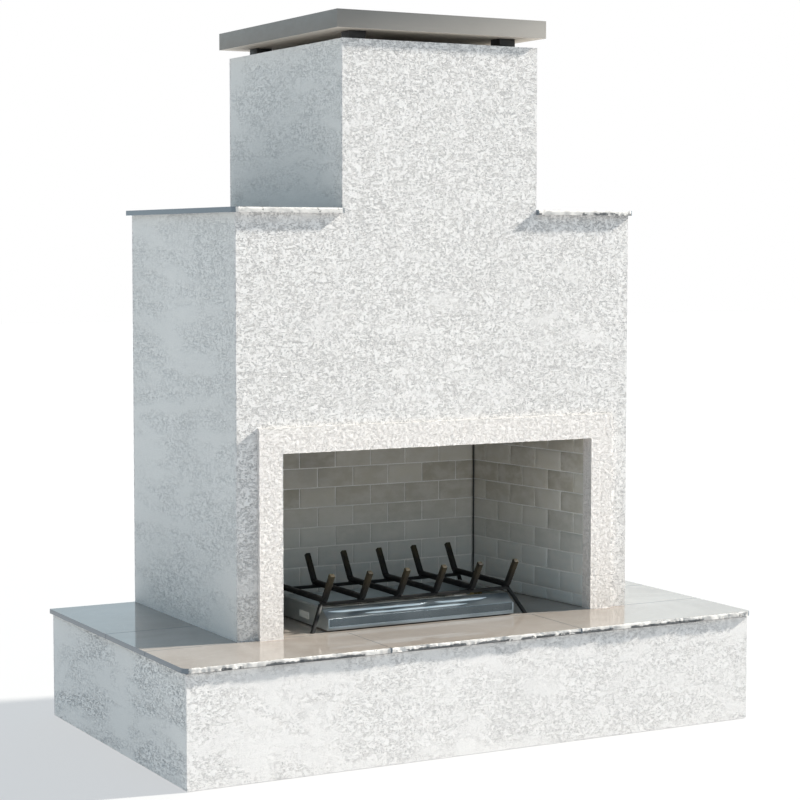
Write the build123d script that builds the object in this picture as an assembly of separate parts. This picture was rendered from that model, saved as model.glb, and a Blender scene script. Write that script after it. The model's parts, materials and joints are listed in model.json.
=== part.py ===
from build123d import *
import os
from math import cos, radians, tan

os.makedirs("parts", exist_ok=True)

# An outdoor gas fireplace: a steel frame clad in cement board and stucco, with a tiled hearth and
# shoulders, a brick lined firebox, a chimney under a flat metal cap, and a burner tray below a
# loose grate. Millimetres, +Z up, +Y to the back. The origin is on the ground, at the middle.

# Base, with the hearth on top
base_width = 1734
base_depth = 980
base_height = 296
base_stucco_lift = 2
hearth_overhang = 10
hearth_corner_radius = 20
hearth_edge_radius = 4
membrane_thickness = 3
hearth_tile_thickness = 13
grout_width = 2
front_tile_joint = 295
wing_tile_joint_depth = 530

# Body and chimney
body_width = 1232
body_setback = 250
body_top = 1440
chimney_width = 610
chimney_top = 1903
shoulder_tile_thickness = 14
shoulder_overhang = 12
shoulder_back_overhang = 15
shoulder_corner_radius = 15

# Cladding and frame
stucco_thickness = 8
board_thickness = 12
base_tube_size = 40
body_tube_size = 38
tube_wall = 2
header_rise = 90

# Surround of the opening
opening_width = 975
opening_top = 805
surround_band = 69.5
surround_top_band = 70
surround_proud = 13
surround_return = 42
surround_return_thickness = 10

# Firebox
lining_back_space = 140
lining_splay = 7
lining_thickness = 30
lining_corner_gap = 4
brick_length = 118
brick_height = 58.5
first_course = 35
mortar_width = 3
mortar_depth = 2
back_brick_phase = -52
side_brick_phase = -103
sheet = 3
shell_flange = 25
lintel_leg = 55
lintel_thickness = 5
lintel_side_clearance = 1

# Smoke hood, flue and chimney top
hood_height = 360
hood_top_width = 290
flue_radius = 127
flue_wall = 1.5
flue_flange_width = 12
flue_hole_clearance = 0.5
top_plate_thickness = 3

# Cap
cap_gap = 26
cap_height = 48
cap_side_reach = 21
cap_front_reach = 12
cap_back_reach = 26
cap_sheet = 2
cap_lip = 15
cap_post_size = 50
cap_post_inset = 45
cap_post_wall = 3
cap_screw_radius = 2
cap_screw_length = 9
cap_screw_head_radius = 4.5
cap_screw_head_height = 2.5
cap_back_screw_spacing = 260
cap_side_screw_spacing = 480

# Fire set: grate over burner tray, both a little left of the middle
fire_set_offset = -47
bar_size = 14
bar_spacing = 116
bar_count = 6
grate_back_space = 152
bar_tip_reach = 47
bar_tip_rise = 75
bar_bend_radius = 16
grate_setback = 60
grate_rise = 76
crossbar_inset = 8
crossbar_size = 9
leg_size = 9
leg_side_splay = 40
leg_end_splay = 30

tray_length = 588
tray_depth = 300
tray_height = 54
tray_front_height = 31
tray_slope_depth = 35
tray_sheet = 1.5
tray_rim = 14
tray_setback = 33
tray_foot_height = 4
tray_foot_radius = 12
tray_foot_inset = 30
tray_lip_height = 9
tray_lip_side = 5
tray_lip_thickness = 2.5
plate_length = 60
plate_height = 18
plate_thickness = 0.8
plate_rise = 14
plate_setback = 113
rivet_radius = 2
rivet_height = 0.8
rivet_inset = 5

# Burner and gas line
burner_radius = 12.5
burner_wall = 1.5
burner_length = 420
burner_end_inset = 40
burner_rise = 27
port_radius = 1.5
port_count = 20
port_margin = 20
bracket_thickness = 3
bracket_width = 34
bracket_inset = 70
mixer_length = 60
air_window_length = 14
air_window_width = 12
shutter_length = 26
shutter_wall = 1.5
shutter_clearance = 0.3
orifice_radius = 7
orifice_length = 22
orifice_bore = 1
elbow_size = 26
pipe_radius = 10.5
pipe_wall = 2.5
pipe_bend_radius = 40
pipe_height = 150
pipe_hole_clearance = 2
inlet_reach = 25
inlet_collar_radius = 17
inlet_collar_length = 4
valve_side_inset = 100
valve_radius = 18
valve_length = 70
valve_run_in = 75
valve_boss_radius = 12
valve_boss_length = 30
stem_radius = 5
stem_seat_depth = 12
stem_head_radius = 8
stem_head_length = 20
stem_recess = 6
socket_width = 8
socket_depth = 12
escutcheon_radius = 30
escutcheon_thickness = 3
sleeve_radius = 10
sleeve_wall = 2
running_gap = 0.3

# One overrun for every cut that has to pass through
overrun = 5

# Places that follow from the sizes above
total_depth = hearth_overhang + base_depth + cap_back_reach + cap_screw_head_height
base_front = hearth_overhang - total_depth / 2
base_back = base_front + base_depth
base_half = base_width / 2
base_board_half = base_half - stucco_thickness
base_inner_half = base_board_half - board_thickness
base_board_front = base_front + stucco_thickness
base_board_back = base_back - stucco_thickness
base_inner_front = base_board_front + board_thickness
base_inner_back = base_board_back - board_thickness
deck_low = base_height - board_thickness
wall_foot = base_height + membrane_thickness
floor = wall_foot + hearth_tile_thickness

body_half = body_width / 2
body_front = base_front + body_setback
body_back = base_back
body_board_half = body_half - stucco_thickness
body_inner_half = body_board_half - board_thickness
body_board_front = body_front + stucco_thickness
body_board_back = body_back - stucco_thickness
body_inner_front = body_board_front + board_thickness
body_inner_back = body_board_back - board_thickness
shoulder_low = body_top - board_thickness
chimney_half = chimney_width / 2
chimney_board_half = chimney_half - stucco_thickness
chimney_inner_half = chimney_board_half - board_thickness
chimney_board_top = chimney_top - top_plate_thickness
flue_y = (body_front + body_back) / 2

opening_half = opening_width / 2
cutout_half = opening_half + surround_return_thickness
cutout_top = opening_top + surround_return_thickness
surround_front = body_front - surround_proud
surround_half = opening_half + surround_band
surround_top = opening_top + surround_top_band
lining_front = surround_front + surround_return
lining_outer_back = body_inner_back - lining_back_space
lining_back = lining_outer_back - lining_thickness
lining_depth = lining_back - lining_front
shell_top = cutout_top + lintel_leg
hood_top = shell_top + hood_height
splay = radians(lining_splay)

cap_low = chimney_top + cap_gap
cap_top = cap_low + cap_height
cap_half = chimney_half + cap_side_reach
cap_front = body_front - cap_front_reach
cap_back = body_back + cap_back_reach

grate_half = bar_spacing * (bar_count - 1) / 2
grate_front = surround_front + grate_setback
grate_back = lining_back - bar_tip_reach - grate_back_space
bar_low = floor + grate_rise
bar_middle = bar_low + bar_size / 2
crossbar_middle = bar_low - crossbar_size / 2

tray_front = surround_front + tray_setback
tray_back = tray_front + tray_depth
tray_low = floor + tray_foot_height
tray_top = tray_low + tray_height
tray_left = fire_set_offset - tray_length / 2
tray_right = fire_set_offset + tray_length / 2
burner_y = (tray_front + tray_back) / 2
burner_z = tray_low + tray_sheet + burner_rise
burner_start = tray_left + burner_end_inset
burner_stop = burner_start + burner_length
mixer_stop = burner_stop + mixer_length
orifice_stop = mixer_stop + orifice_length
riser_x = orifice_stop + elbow_size / 2
window_middle = burner_stop + mixer_length / 2
valve_x = base_half - valve_side_inset
valve_y = burner_y + valve_run_in + valve_length / 2


def block(x, y, z):
    """A square block between the low and high ends given along each axis."""
    sizes = [high - low for low, high in (x, y, z)]
    middle = [(high + low) / 2 for low, high in (x, y, z)]
    return Pos(*middle) * Box(*sizes)


def tube(x, y, z, wall=tube_wall):
    """A square tube that is hollow along its longest side and open at both ends."""
    spans = (x, y, z)
    lengths = [high - low for low, high in spans]
    longest = lengths.index(max(lengths))
    inside = [s if i == longest else (s[0] + wall, s[1] - wall) for i, s in enumerate(spans)]
    return block(*spans) - block(*inside)


def rod(start, stop, radius):
    """A round rod from one point to another."""
    axis = Vector(*stop) - Vector(*start)
    return extrude(Plane(origin=start, z_dir=axis) * Circle(radius), amount=axis.length)


def profile_along_x(points, x):
    """A prism along X with an outline of (y, z) points."""
    outline = Plane.YZ * make_face(Polyline(*points, close=True))
    return Pos(x[0], 0, 0) * extrude(outline, amount=x[1] - x[0], dir=(1, 0, 0))


def other_side(solid):
    return mirror(solid, about=Plane.YZ)


def both_sides(solid):
    return [other_side(solid), solid]


def save(node, solids):
    shape = Compound(children=list(solids)) if isinstance(solids, list) else solids
    export_step(shape, f"parts/{node}.step")


# Base
def base_frame():
    s = base_tube_size
    left, right = -base_inner_half, base_inner_half
    front, back = base_inner_front, base_inner_back
    wall_line = body_half - s
    members = []
    for low in (0, deck_low - s):
        z = (low, low + s)
        members.append(tube((left, right), (front, front + s), z))
        members.append(tube((left, right), (back - s, back), z))
        members += both_sides(tube((right - s, right), (front + s, back - s), z))
    posts = (s, deck_low - s)
    for y in ((front, front + s), (back - s, back)):
        members += both_sides(tube((right - s, right), y, posts))
        members += both_sides(tube((wall_line, wall_line + s), y, posts))
    top = (deck_low - s, deck_low)
    members += both_sides(tube((wall_line, wall_line + s), (front + s, back - s), top))
    members.append(tube((-wall_line, wall_line), (body_front, body_front + s), top))
    return members


def base_end_board(front, back):
    return block((-base_board_half, base_board_half), (front, back), (0, deck_low))


def base_side_board():
    return block((base_inner_half, base_board_half), (base_inner_front, base_inner_back), (0, deck_low))


def pipe_hole(z):
    radius = pipe_radius + pipe_hole_clearance
    return rod((riser_x, burner_y, z[0] - overrun), (riser_x, burner_y, z[1] + overrun), radius)


def inlet_hole():
    start = (valve_x, base_inner_back - overrun, pipe_height)
    stop = (valve_x, base_back + overrun, pipe_height)
    return rod(start, stop, pipe_radius + pipe_hole_clearance)


def valve_hole():
    start = (base_inner_half - overrun, valve_y, pipe_height)
    stop = (base_half + overrun, valve_y, pipe_height)
    return rod(start, stop, sleeve_radius + sleeve_wall)


def base_stucco():
    x = (-base_half, base_half)
    y = (base_front, base_back)
    z = (base_stucco_lift, base_height)
    inner_x = (-base_board_half, base_board_half)
    inner_y = (base_board_front, base_board_back)
    return block(x, y, z) - block(inner_x, inner_y, z) - inlet_hole() - valve_hole()


def deck_layer(low, high):
    plan_x = (-base_board_half, base_board_half)
    plan_y = (base_board_front, base_board_back)
    return block(plan_x, plan_y, (low, high)) - pipe_hole((low, high))


# Hearth tiles
def hearth_slab():
    """The whole hearth in one piece, with rounded front corners and a softened top edge."""
    half = base_half + hearth_overhang
    front = base_front - hearth_overhang
    slab = block((-half, half), (front, base_back), (wall_foot, floor))
    corners = slab.edges().filter_by(Axis.Z).group_by(Axis.Y)[0]
    slab = fillet(corners, hearth_corner_radius)
    top = slab.faces().sort_by(Axis.Z)[-1]
    rims = [e for e in top.edges() if e.center().Y < base_back - overrun]
    return fillet(rims, hearth_edge_radius)


def hearth_tile(slab, x, y):
    return slab & block(x, y, (wall_foot - overrun, floor + overrun))


def firebox_floor():
    """The tile in the firebox, cut to the splay of the lining above it."""
    plan = firebox_plan(lining_front, lining_outer_back, lining_thickness, wall_foot)
    inside = extrude(plan, amount=hearth_tile_thickness)
    y = (body_front + grout_width / 2, lining_front)
    threshold = block((-cutout_half, cutout_half), y, (wall_foot, floor))
    return inside + threshold - pipe_hole((wall_foot, floor))


# Body
def body_frame():
    s = body_tube_size
    side = body_inner_half
    stack = chimney_inner_half
    front, back = body_inner_front, body_inner_back
    ends = ((front, front + s), (back - s, back))
    ring = (shoulder_low - s, shoulder_low)
    members = []
    for y in ends:
        members += both_sides(tube((side - s, side), y, (wall_foot, ring[0])))
        members += both_sides(tube((stack - s, stack), y, (shoulder_low, chimney_board_top)))
        members.append(tube((-side, side), y, ring))
    members += both_sides(tube((side - s, side), (front + s, back - s), ring))
    members += both_sides(tube((stack - s, stack), (front + s, back - s), ring))
    header = (shell_top + header_rise, shell_top + header_rise + s)
    members.append(tube((s - side, side - s), ends[0], header))
    return members


def stepped_wall(y, z, half, stack_half, stack_top):
    """A wall with the body's width below the shoulders and the chimney's above them."""
    body = block((-half, half), y, (z, body_top))
    return body + block((-stack_half, stack_half), y, (body_top, stack_top))


def opening_cutout(y):
    y_through = (y[0] - overrun, y[1] + overrun)
    return block((-cutout_half, cutout_half), y_through, (wall_foot - overrun, cutout_top))


def front_stucco():
    y = (body_front, body_board_front)
    return stepped_wall(y, wall_foot, body_half, chimney_half, chimney_top) - opening_cutout(y)


def back_stucco():
    y = (body_board_back, body_back)
    return stepped_wall(y, wall_foot, body_half, chimney_half, chimney_top)


def side_stucco():
    """The stucco of the right hand side: the body's wall and the chimney's wall above it."""
    y = (body_board_front, body_board_back)
    body = block((body_board_half, body_half), y, (wall_foot, body_top))
    return [body, block((chimney_board_half, chimney_half), y, (body_top, chimney_top))]


def front_board():
    y = (body_board_front, body_inner_front)
    wall = stepped_wall(y, wall_foot, body_board_half, chimney_board_half, chimney_board_top)
    return wall - opening_cutout(y)


def back_board():
    y = (body_inner_back, body_board_back)
    return stepped_wall(y, wall_foot, body_board_half, chimney_board_half, chimney_board_top)


def body_side_board():
    y = (body_inner_front, body_inner_back)
    return block((body_inner_half, body_board_half), y, (wall_foot, shoulder_low))


def shoulder_board():
    y = (body_inner_front, body_inner_back)
    return block((chimney_board_half, body_board_half), y, (shoulder_low, body_top))


def chimney_side_board():
    y = (body_inner_front, body_inner_back)
    return block((chimney_inner_half, chimney_board_half), y, (shoulder_low, chimney_board_top))


def shoulder_tile():
    x = (chimney_half, body_half + shoulder_overhang)
    y = (body_front - shoulder_overhang, body_back + shoulder_back_overhang)
    tile = block(x, y, (body_top, body_top + shoulder_tile_thickness))
    corner = tile.edges().filter_by(Axis.Z).sort_by(lambda e: e.center().X - e.center().Y)[-1]
    return fillet(corner, shoulder_corner_radius)


def opening_surround():
    """The raised stucco band, with a thin return that lines the edge of the opening."""
    outside = (-surround_half, surround_half)
    inside = (-opening_half, opening_half)
    cutout = (-cutout_half, cutout_half)
    y_band = (surround_front, body_front)
    y_return = (body_front, lining_front)
    y_through = (surround_front - overrun, lining_front + overrun)
    band = block(outside, y_band, (floor, surround_top))
    edge = block(cutout, y_return, (floor, cutout_top))
    return band + edge - block(inside, y_through, (floor - overrun, opening_top))


# Firebox
def half_at(y, outward):
    """Half the firebox's width at a depth, moved outward square to its splayed side."""
    return opening_half - (y - lining_front) * tan(splay) + outward / cos(splay)


def firebox_plan(front, back, outward, z):
    front_half = half_at(front, outward)
    back_half = half_at(back, outward)
    right = [(front_half, front), (back_half, back)]
    left = [(-back_half, back), (-front_half, front)]
    return Pos(0, 0, z) * make_face(Polyline(*right, *left, close=True))


def brick_panel(left, right, phase):
    """A moulded panel whose face, towards -Y, has the joints of a running bond."""
    panel = block((left, right), (0, lining_thickness), (floor, shell_top))
    y = (-overrun, mortar_depth)
    half_joint = mortar_width / 2
    course_low = floor
    course_high = floor + first_course
    courses = 0
    joints = []
    while course_low < shell_top:
        course_high = min(course_high, shell_top)
        bed = (course_high - half_joint, course_high + half_joint)
        joints.append(block((left - overrun, right + overrun), y, bed))
        x = phase + (courses % 2) * brick_length / 2 + brick_length / 2
        while x > left:
            x -= brick_length
        x += brick_length
        while x < right:
            joints.append(block((x - half_joint, x + half_joint), y, (course_low, course_high)))
            x += brick_length
        course_low = course_high
        course_high = course_low + brick_height
        courses += 1
    return panel - joints


def lining_back_panel():
    half = half_at(lining_back, 0) - lining_corner_gap
    return Pos(0, lining_back, 0) * brick_panel(-half, half, back_brick_phase)


def lining_side_panel():
    """The right hand side panel, which stands behind the end of the back panel."""
    length = (lining_depth + lining_thickness) / cos(splay)
    panel = brick_panel(-length, 0, side_brick_phase)
    panel = Pos(opening_half, lining_front, 0) * Rot(0, 0, lining_splay - 90) * panel
    beyond = (lining_outer_back, lining_outer_back + lining_thickness)
    return panel - block((0, body_half), beyond, (floor - overrun, shell_top + overrun))


def firebox_shell():
    """A welded sheet box around the lining, open to the front, with a flange on the board."""
    z = wall_foot
    height = shell_top - wall_foot
    front = body_inner_front
    outer = firebox_plan(front, lining_outer_back + sheet, lining_thickness + sheet, z)
    inner = firebox_plan(front - overrun, lining_outer_back, lining_thickness, z)
    shell = extrude(outer, amount=height) - extrude(inner, amount=height)
    low = half_at(front, lining_thickness) + sheet / 2
    flange = block((low, low + shell_flange), (front, front + sheet), (z, shell_top))
    return shell + flange + other_side(flange)


def lintel_angle():
    front = body_inner_front
    ends = half_at(front + lintel_thickness, lining_thickness) - lintel_side_clearance
    upright = block((-ends, ends), (front, front + lintel_thickness), (cutout_top, shell_top))
    shelf_back = front + lintel_leg
    half = half_at(shelf_back, 0) - lintel_side_clearance
    z = (cutout_top, cutout_top + lintel_thickness)
    return upright + block((-half, half), (front + lintel_thickness, shelf_back), z)


def smoke_hood():
    """A sheet hood that narrows from the firebox to a square plate with the flue's hole."""
    front = body_inner_front
    outer_low = firebox_plan(front, lining_outer_back + sheet, lining_thickness + sheet, shell_top)
    inner_low = firebox_plan(front + sheet, lining_outer_back, lining_thickness, shell_top)
    inner_width = hood_top_width - 2 * sheet
    outer_high = Pos(0, flue_y, hood_top) * Rectangle(hood_top_width, hood_top_width)
    inner_high = Pos(0, flue_y, hood_top) * Rectangle(inner_width, inner_width)
    hood = loft([outer_low, outer_high], ruled=True) - loft([inner_low, inner_high], ruled=True)
    half = hood_top_width / 2
    plate = block((-half, half), (flue_y - half, flue_y + half), (hood_top, hood_top + sheet))
    above = (0, flue_y, hood_top + sheet + overrun)
    return hood + plate - rod((0, flue_y, hood_top - overrun), above, flue_radius - flue_wall)


def flue_pipe():
    low = hood_top + sheet
    pipe = rod((0, flue_y, low), (0, flue_y, chimney_top), flue_radius)
    flange = rod((0, flue_y, low), (0, flue_y, low + sheet), flue_radius + flue_flange_width)
    bore = rod((0, flue_y, low - overrun), (0, flue_y, chimney_top + overrun), flue_radius - flue_wall)
    return pipe + flange - bore


def chimney_top_plate():
    x = (-chimney_board_half, chimney_board_half)
    y = (body_board_front, body_board_back)
    plate = block(x, y, (chimney_board_top, chimney_top))
    low = (0, flue_y, chimney_board_top - overrun)
    return plate - rod(low, (0, flue_y, chimney_top + overrun), flue_radius + flue_hole_clearance)


# Cap
def cap_post(side, end):
    """One post, at side -1 or 1 across the chimney and end -1 or 1 along it."""
    x = side * (chimney_half - cap_post_inset - cap_post_size / 2)
    y = (body_front if end < 0 else body_back) - end * (cap_post_inset + cap_post_size / 2)
    half = cap_post_size / 2
    outer = block((x - half, x + half), (y - half, y + half), (chimney_top, cap_low))
    bore = half - cap_post_wall
    return outer - block((x - bore, x + bore), (y - bore, y + bore), (chimney_top, cap_low))


def cap_pan():
    """The folded top of the cap: a flat sheet with a deep flange on each side."""
    t = cap_sheet
    shell = block((-cap_half, cap_half), (cap_front, cap_back), (cap_low, cap_top))
    inner_x = (t - cap_half, cap_half - t)
    inner_y = (cap_front + t, cap_back - t)
    return shell - block(inner_x, inner_y, (cap_low - overrun, cap_top - t))


def cap_base():
    """The cap's underside: a sheet with its edges turned up inside the flanges."""
    t = cap_sheet
    x = (t - cap_half, cap_half - t)
    y = (cap_front + t, cap_back - t)
    tray = block(x, y, (cap_low, cap_low + cap_lip))
    inner_x = (x[0] + t, x[1] - t)
    inner_y = (y[0] + t, y[1] - t)
    return tray - block(inner_x, inner_y, (cap_low + t, cap_low + cap_lip + overrun)) - cap_screw_holes()


def cap_screw_places():
    """Head centre and outward direction of each screw, on the back and the right flange."""
    z = cap_low + cap_lip / 2 + cap_sheet / 2
    back_xs = (-cap_back_screw_spacing, 0, cap_back_screw_spacing)
    middle_y = (cap_front + cap_back) / 2
    side_ys = (middle_y - cap_side_screw_spacing / 2, middle_y + cap_side_screw_spacing / 2)
    back = [((x, cap_back, z), (0, 1, 0)) for x in back_xs]
    return back + [((cap_half, y, z), (1, 0, 0)) for y in side_ys]


def cap_screw_holes():
    holes = []
    for place, outward in cap_screw_places():
        start = Vector(*place) + Vector(*outward) * overrun
        stop = Vector(*place) - Vector(*outward) * (cap_screw_length + overrun)
        holes.append(rod(start, stop, cap_screw_radius))
    return holes


def cap_screws():
    screws = []
    for place, outward in cap_screw_places():
        surface = Vector(*place)
        direction = Vector(*outward)
        shank = rod(surface - direction * cap_screw_length, surface, cap_screw_radius)
        head_top = surface + direction * cap_screw_head_height
        head = rod(surface, head_top, cap_screw_head_radius)
        screws.append(shank + head)
    return screws


# Grate
def grate_bar(number):
    """A square bar with both ends bent up and outwards."""
    x = fire_set_offset - grate_half + number * bar_spacing
    z = bar_middle
    tip = z + bar_tip_rise
    points = [(x, grate_front - bar_tip_reach, tip), (x, grate_front, z)]
    points += [(x, grate_back, z), (x, grate_back + bar_tip_reach, tip)]
    path = FilletPolyline(*points, radius=bar_bend_radius)
    section = Plane(origin=path @ 0, x_dir=(1, 0, 0), z_dir=path % 0) * Rectangle(bar_size, bar_size)
    return sweep(section, path=path)


def crossbar(y):
    half = grate_half + bar_size / 2
    x = (fire_set_offset - half, fire_set_offset + half)
    half_width = crossbar_size / 2
    return block(x, (y - half_width, y + half_width), (bar_low - crossbar_size, bar_low))


def grate_leg(side, end):
    """A leg at side -1 or 1 and end -1 or 1, splayed out both ways and cut flat at the floor."""
    y = grate_front + crossbar_inset if end < 0 else grate_back - crossbar_inset
    crossbar_end = grate_half + bar_size / 2
    top = Vector(fire_set_offset + side * crossbar_end, y, crossbar_middle)
    foot = Vector(top.X + side * leg_side_splay, y + end * leg_end_splay, floor)
    direction = (foot - top).normalized()
    axis = Plane(origin=top, x_dir=(1, 0, -direction.X / direction.Z), z_dir=direction)
    leg = extrude(axis * Rectangle(leg_size, leg_size), amount=(foot - top).length + leg_size)
    reach = leg_size + leg_side_splay
    under_x = (foot.X - reach, foot.X + reach)
    under_y = (foot.Y - reach, foot.Y + reach)
    below = block(under_x, under_y, (floor - reach, floor))
    return leg - below - crossbar(y)


# Burner tray
def tray_pan():
    """A folded pan with an upright front, a slope above it and a flat rim round the top."""
    low, top = tray_low, tray_top
    shoulder = low + tray_front_height
    slope_back = tray_front + tray_slope_depth
    points = [(tray_front, low), (tray_front, shoulder), (slope_back, top)]
    points += [(tray_back, top), (tray_back, low)]
    outer = profile_along_x(points, (tray_left, tray_right))
    t = tray_sheet
    slope = Vector(tray_slope_depth, top - shoulder)
    rise = t * (slope.length - slope.Y) / slope.X
    shift = t * (slope.length + slope.X) / slope.Y
    inner_points = [(tray_front + t, low + t), (tray_front + t, shoulder - rise + t * slope.Y / slope.X)]
    inner_points += [(slope_back + shift - t * slope.X / slope.Y, top - t)]
    inner_points += [(tray_back - t, top - t), (tray_back - t, low + t)]
    inner = profile_along_x(inner_points, (tray_left + t, tray_right - t))
    mouth_x = (tray_left + tray_rim, tray_right - tray_rim)
    mouth_y = (slope_back + tray_rim, tray_back - tray_rim)
    mouth = block(mouth_x, mouth_y, (top - t - overrun, top + overrun))
    return outer - inner - mouth - pipe_hole((low, low + t))


def tray_lip():
    """The turned hem on the tray's upright front: along the bottom and up both ends."""
    y = (tray_front - tray_lip_thickness, tray_front)
    z = (tray_low, tray_low + tray_front_height)
    frame = block((tray_left, tray_right), y, z)
    y_through = (y[0] - overrun, y[1] + overrun)
    inside = (tray_left + tray_lip_side, tray_right - tray_lip_side)
    return frame - block(inside, y_through, (tray_low + tray_lip_height, z[1] + overrun))


def tray_feet():
    feet = []
    for x in (tray_left + tray_foot_inset, tray_right - tray_foot_inset):
        for y in (tray_front + tray_foot_inset, tray_back - tray_foot_inset):
            feet.append(rod((x, y, floor), (x, y, tray_low), tray_foot_radius))
    return feet


def burner_tray():
    return tray_pan() + tray_lip() + tray_feet() + burner_brackets()


def tray_plate():
    """A small bare plate riveted to the tray's left end."""
    y = (tray_front + plate_setback, tray_front + plate_setback + plate_length)
    z = (tray_low + plate_rise, tray_low + plate_rise + plate_height)
    face = tray_left - plate_thickness
    plate = block((face, tray_left), y, z)
    middle = (z[0] + z[1]) / 2
    for place in (y[0] + rivet_inset, y[1] - rivet_inset):
        plate += rod((face, place, middle), (face - rivet_height, place, middle), rivet_radius)
    return plate


# Burner
def burner_tube():
    """A closed tube along X with a row of gas ports on top."""
    stop = (burner_stop, burner_y, burner_z)
    outer = rod((burner_start, burner_y, burner_z), stop, burner_radius)
    bore = rod((burner_start + burner_wall, burner_y, burner_z), stop, burner_radius - burner_wall)
    pitch = (burner_length - 2 * port_margin) / (port_count - 1)
    xs = [burner_start + port_margin + i * pitch for i in range(port_count)]
    above = burner_z + burner_radius + overrun
    ports = [rod((x, burner_y, burner_z), (x, burner_y, above), port_radius) for x in xs]
    return outer - bore - ports


def burner_brackets():
    brackets = []
    half = bracket_width / 2
    y = (burner_y - half, burner_y + half)
    seat_start = (burner_start - overrun, burner_y, burner_z)
    seat = rod(seat_start, (burner_stop + overrun, burner_y, burner_z), burner_radius)
    for x in (burner_start + bracket_inset, burner_stop - bracket_inset):
        plate = block((x, x + bracket_thickness), y, (tray_low + tray_sheet, burner_z))
        brackets.append(plate - seat)
    return brackets


def air_windows():
    """The two side windows through which the mixer draws its air."""
    half = air_window_length / 2
    x = (window_middle - half, window_middle + half)
    reach = burner_radius + shutter_clearance + shutter_wall + overrun
    z = (burner_z - air_window_width / 2, burner_z + air_window_width / 2)
    return block(x, (burner_y - reach, burner_y + reach), z)


def air_mixer():
    """The tube that joins the jet to the burner and lets air in on both sides."""
    start = (burner_stop, burner_y, burner_z)
    stop = (mixer_stop, burner_y, burner_z)
    bore_stop = (mixer_stop - burner_wall, burner_y, burner_z)
    tube_body = rod(start, stop, burner_radius) - rod(start, bore_stop, burner_radius - burner_wall)
    jet_hole = rod(start, (mixer_stop + overrun, burner_y, burner_z), orifice_bore)
    return tube_body - jet_hole - air_windows()


def air_shutter():
    """A sleeve on the mixer that turns to uncover more or less of the windows."""
    inner = burner_radius + shutter_clearance
    start = (window_middle - shutter_length / 2, burner_y, burner_z)
    stop = (window_middle + shutter_length / 2, burner_y, burner_z)
    return rod(start, stop, inner + shutter_wall) - rod(start, stop, inner) - air_windows()


def gas_jet():
    """The jet holder and the elbow that it screws into, on top of the riser."""
    start = (mixer_stop, burner_y, burner_z)
    stop = (orifice_stop, burner_y, burner_z)
    half = elbow_size / 2
    elbow_x = (orifice_stop, orifice_stop + elbow_size)
    elbow = block(elbow_x, (burner_y - half, burner_y + half), (burner_z - half, burner_z + half))
    inside = (riser_x, burner_y, burner_z)
    feed = rod(inside, (riser_x, burner_y, burner_z - elbow_size), pipe_radius - pipe_wall)
    return rod(start, stop, orifice_radius) + elbow - rod(start, inside, orifice_bore) - feed


# Gas line
def hollow_pipe(path, start):
    outer = Plane(origin=start, z_dir=path % 0) * Circle(pipe_radius)
    inner = Plane(origin=start, z_dir=path % 0) * Circle(pipe_radius - pipe_wall)
    return sweep(outer, path=path) - sweep(inner, path=path)


def burner_pipe():
    """The pipe from the valve to the riser under the burner."""
    start = (valve_x, valve_y - valve_length / 2, pipe_height)
    corner = (valve_x, burner_y, pipe_height)
    foot = (riser_x, burner_y, pipe_height)
    top = (riser_x, burner_y, burner_z - elbow_size / 2)
    path = FilletPolyline(start, corner, foot, top, radius=pipe_bend_radius)
    return hollow_pipe(path, start)


def supply_pipe():
    """The pipe from the valve out through the back of the base, with a collar on the wall."""
    start = (valve_x, valve_y + valve_length / 2, pipe_height)
    stop = (valve_x, base_back + inlet_reach, pipe_height)
    wall = (valve_x, base_back, pipe_height)
    collar_stop = (valve_x, base_back + inlet_collar_length, pipe_height)
    collar = rod(wall, collar_stop, inlet_collar_radius) - rod(start, stop, pipe_radius)
    return hollow_pipe(Line(start, stop), start) + collar


def valve_body():
    """A quarter turn valve with a boss for the stem towards the side of the base."""
    half = valve_length / 2
    low = (valve_x, valve_y - half, pipe_height)
    high = (valve_x, valve_y + half, pipe_height)
    boss_stop = (valve_x + valve_radius + valve_boss_length, valve_y, pipe_height)
    boss = rod((valve_x, valve_y, pipe_height), boss_stop, valve_boss_radius)
    seat_x = boss_stop[0] - stem_seat_depth - running_gap
    seat = rod((seat_x, valve_y, pipe_height), boss_stop, stem_radius + running_gap)
    return rod(low, high, valve_radius) + boss - seat


def valve_stem():
    """The stem that a loose key turns, with a square socket in its head."""
    start = valve_x + valve_radius + valve_boss_length - stem_seat_depth
    face = base_half - stem_recess
    neck = (face - stem_head_length, valve_y, pipe_height)
    shank = rod((start, valve_y, pipe_height), neck, stem_radius)
    head = rod(neck, (face, valve_y, pipe_height), stem_head_radius)
    half = socket_width / 2
    y = (valve_y - half, valve_y + half)
    socket = block((face - socket_depth, face + overrun), y, (pipe_height - half, pipe_height + half))
    return shank + head - socket


def valve_escutcheon():
    """The plate on the side of the base, with a sleeve through the wall round the stem."""
    wall = (base_half, valve_y, pipe_height)
    face = base_half + escutcheon_thickness
    plate = rod(wall, (face, valve_y, pipe_height), escutcheon_radius)
    plate = fillet(plate.edges().sort_by(Axis.X)[-1], escutcheon_thickness / 2)
    sleeve = rod((base_inner_half, valve_y, pipe_height), wall, sleeve_radius + sleeve_wall)
    bore_start = (base_inner_half - overrun, valve_y, pipe_height)
    return plate + sleeve - rod(bore_start, (face + overrun, valve_y, pipe_height), sleeve_radius)


save("base_frame", base_frame())
save("base_board_front", base_end_board(base_board_front, base_inner_front))
save("base_board_back", base_end_board(base_inner_back, base_board_back) - inlet_hole())
save("base_board_left", other_side(base_side_board()))
save("base_board_right", base_side_board() - valve_hole())
save("base_stucco", base_stucco())
save("hearth_deck", deck_layer(deck_low, base_height))
save("hearth_membrane", deck_layer(base_height, wall_foot))

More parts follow.
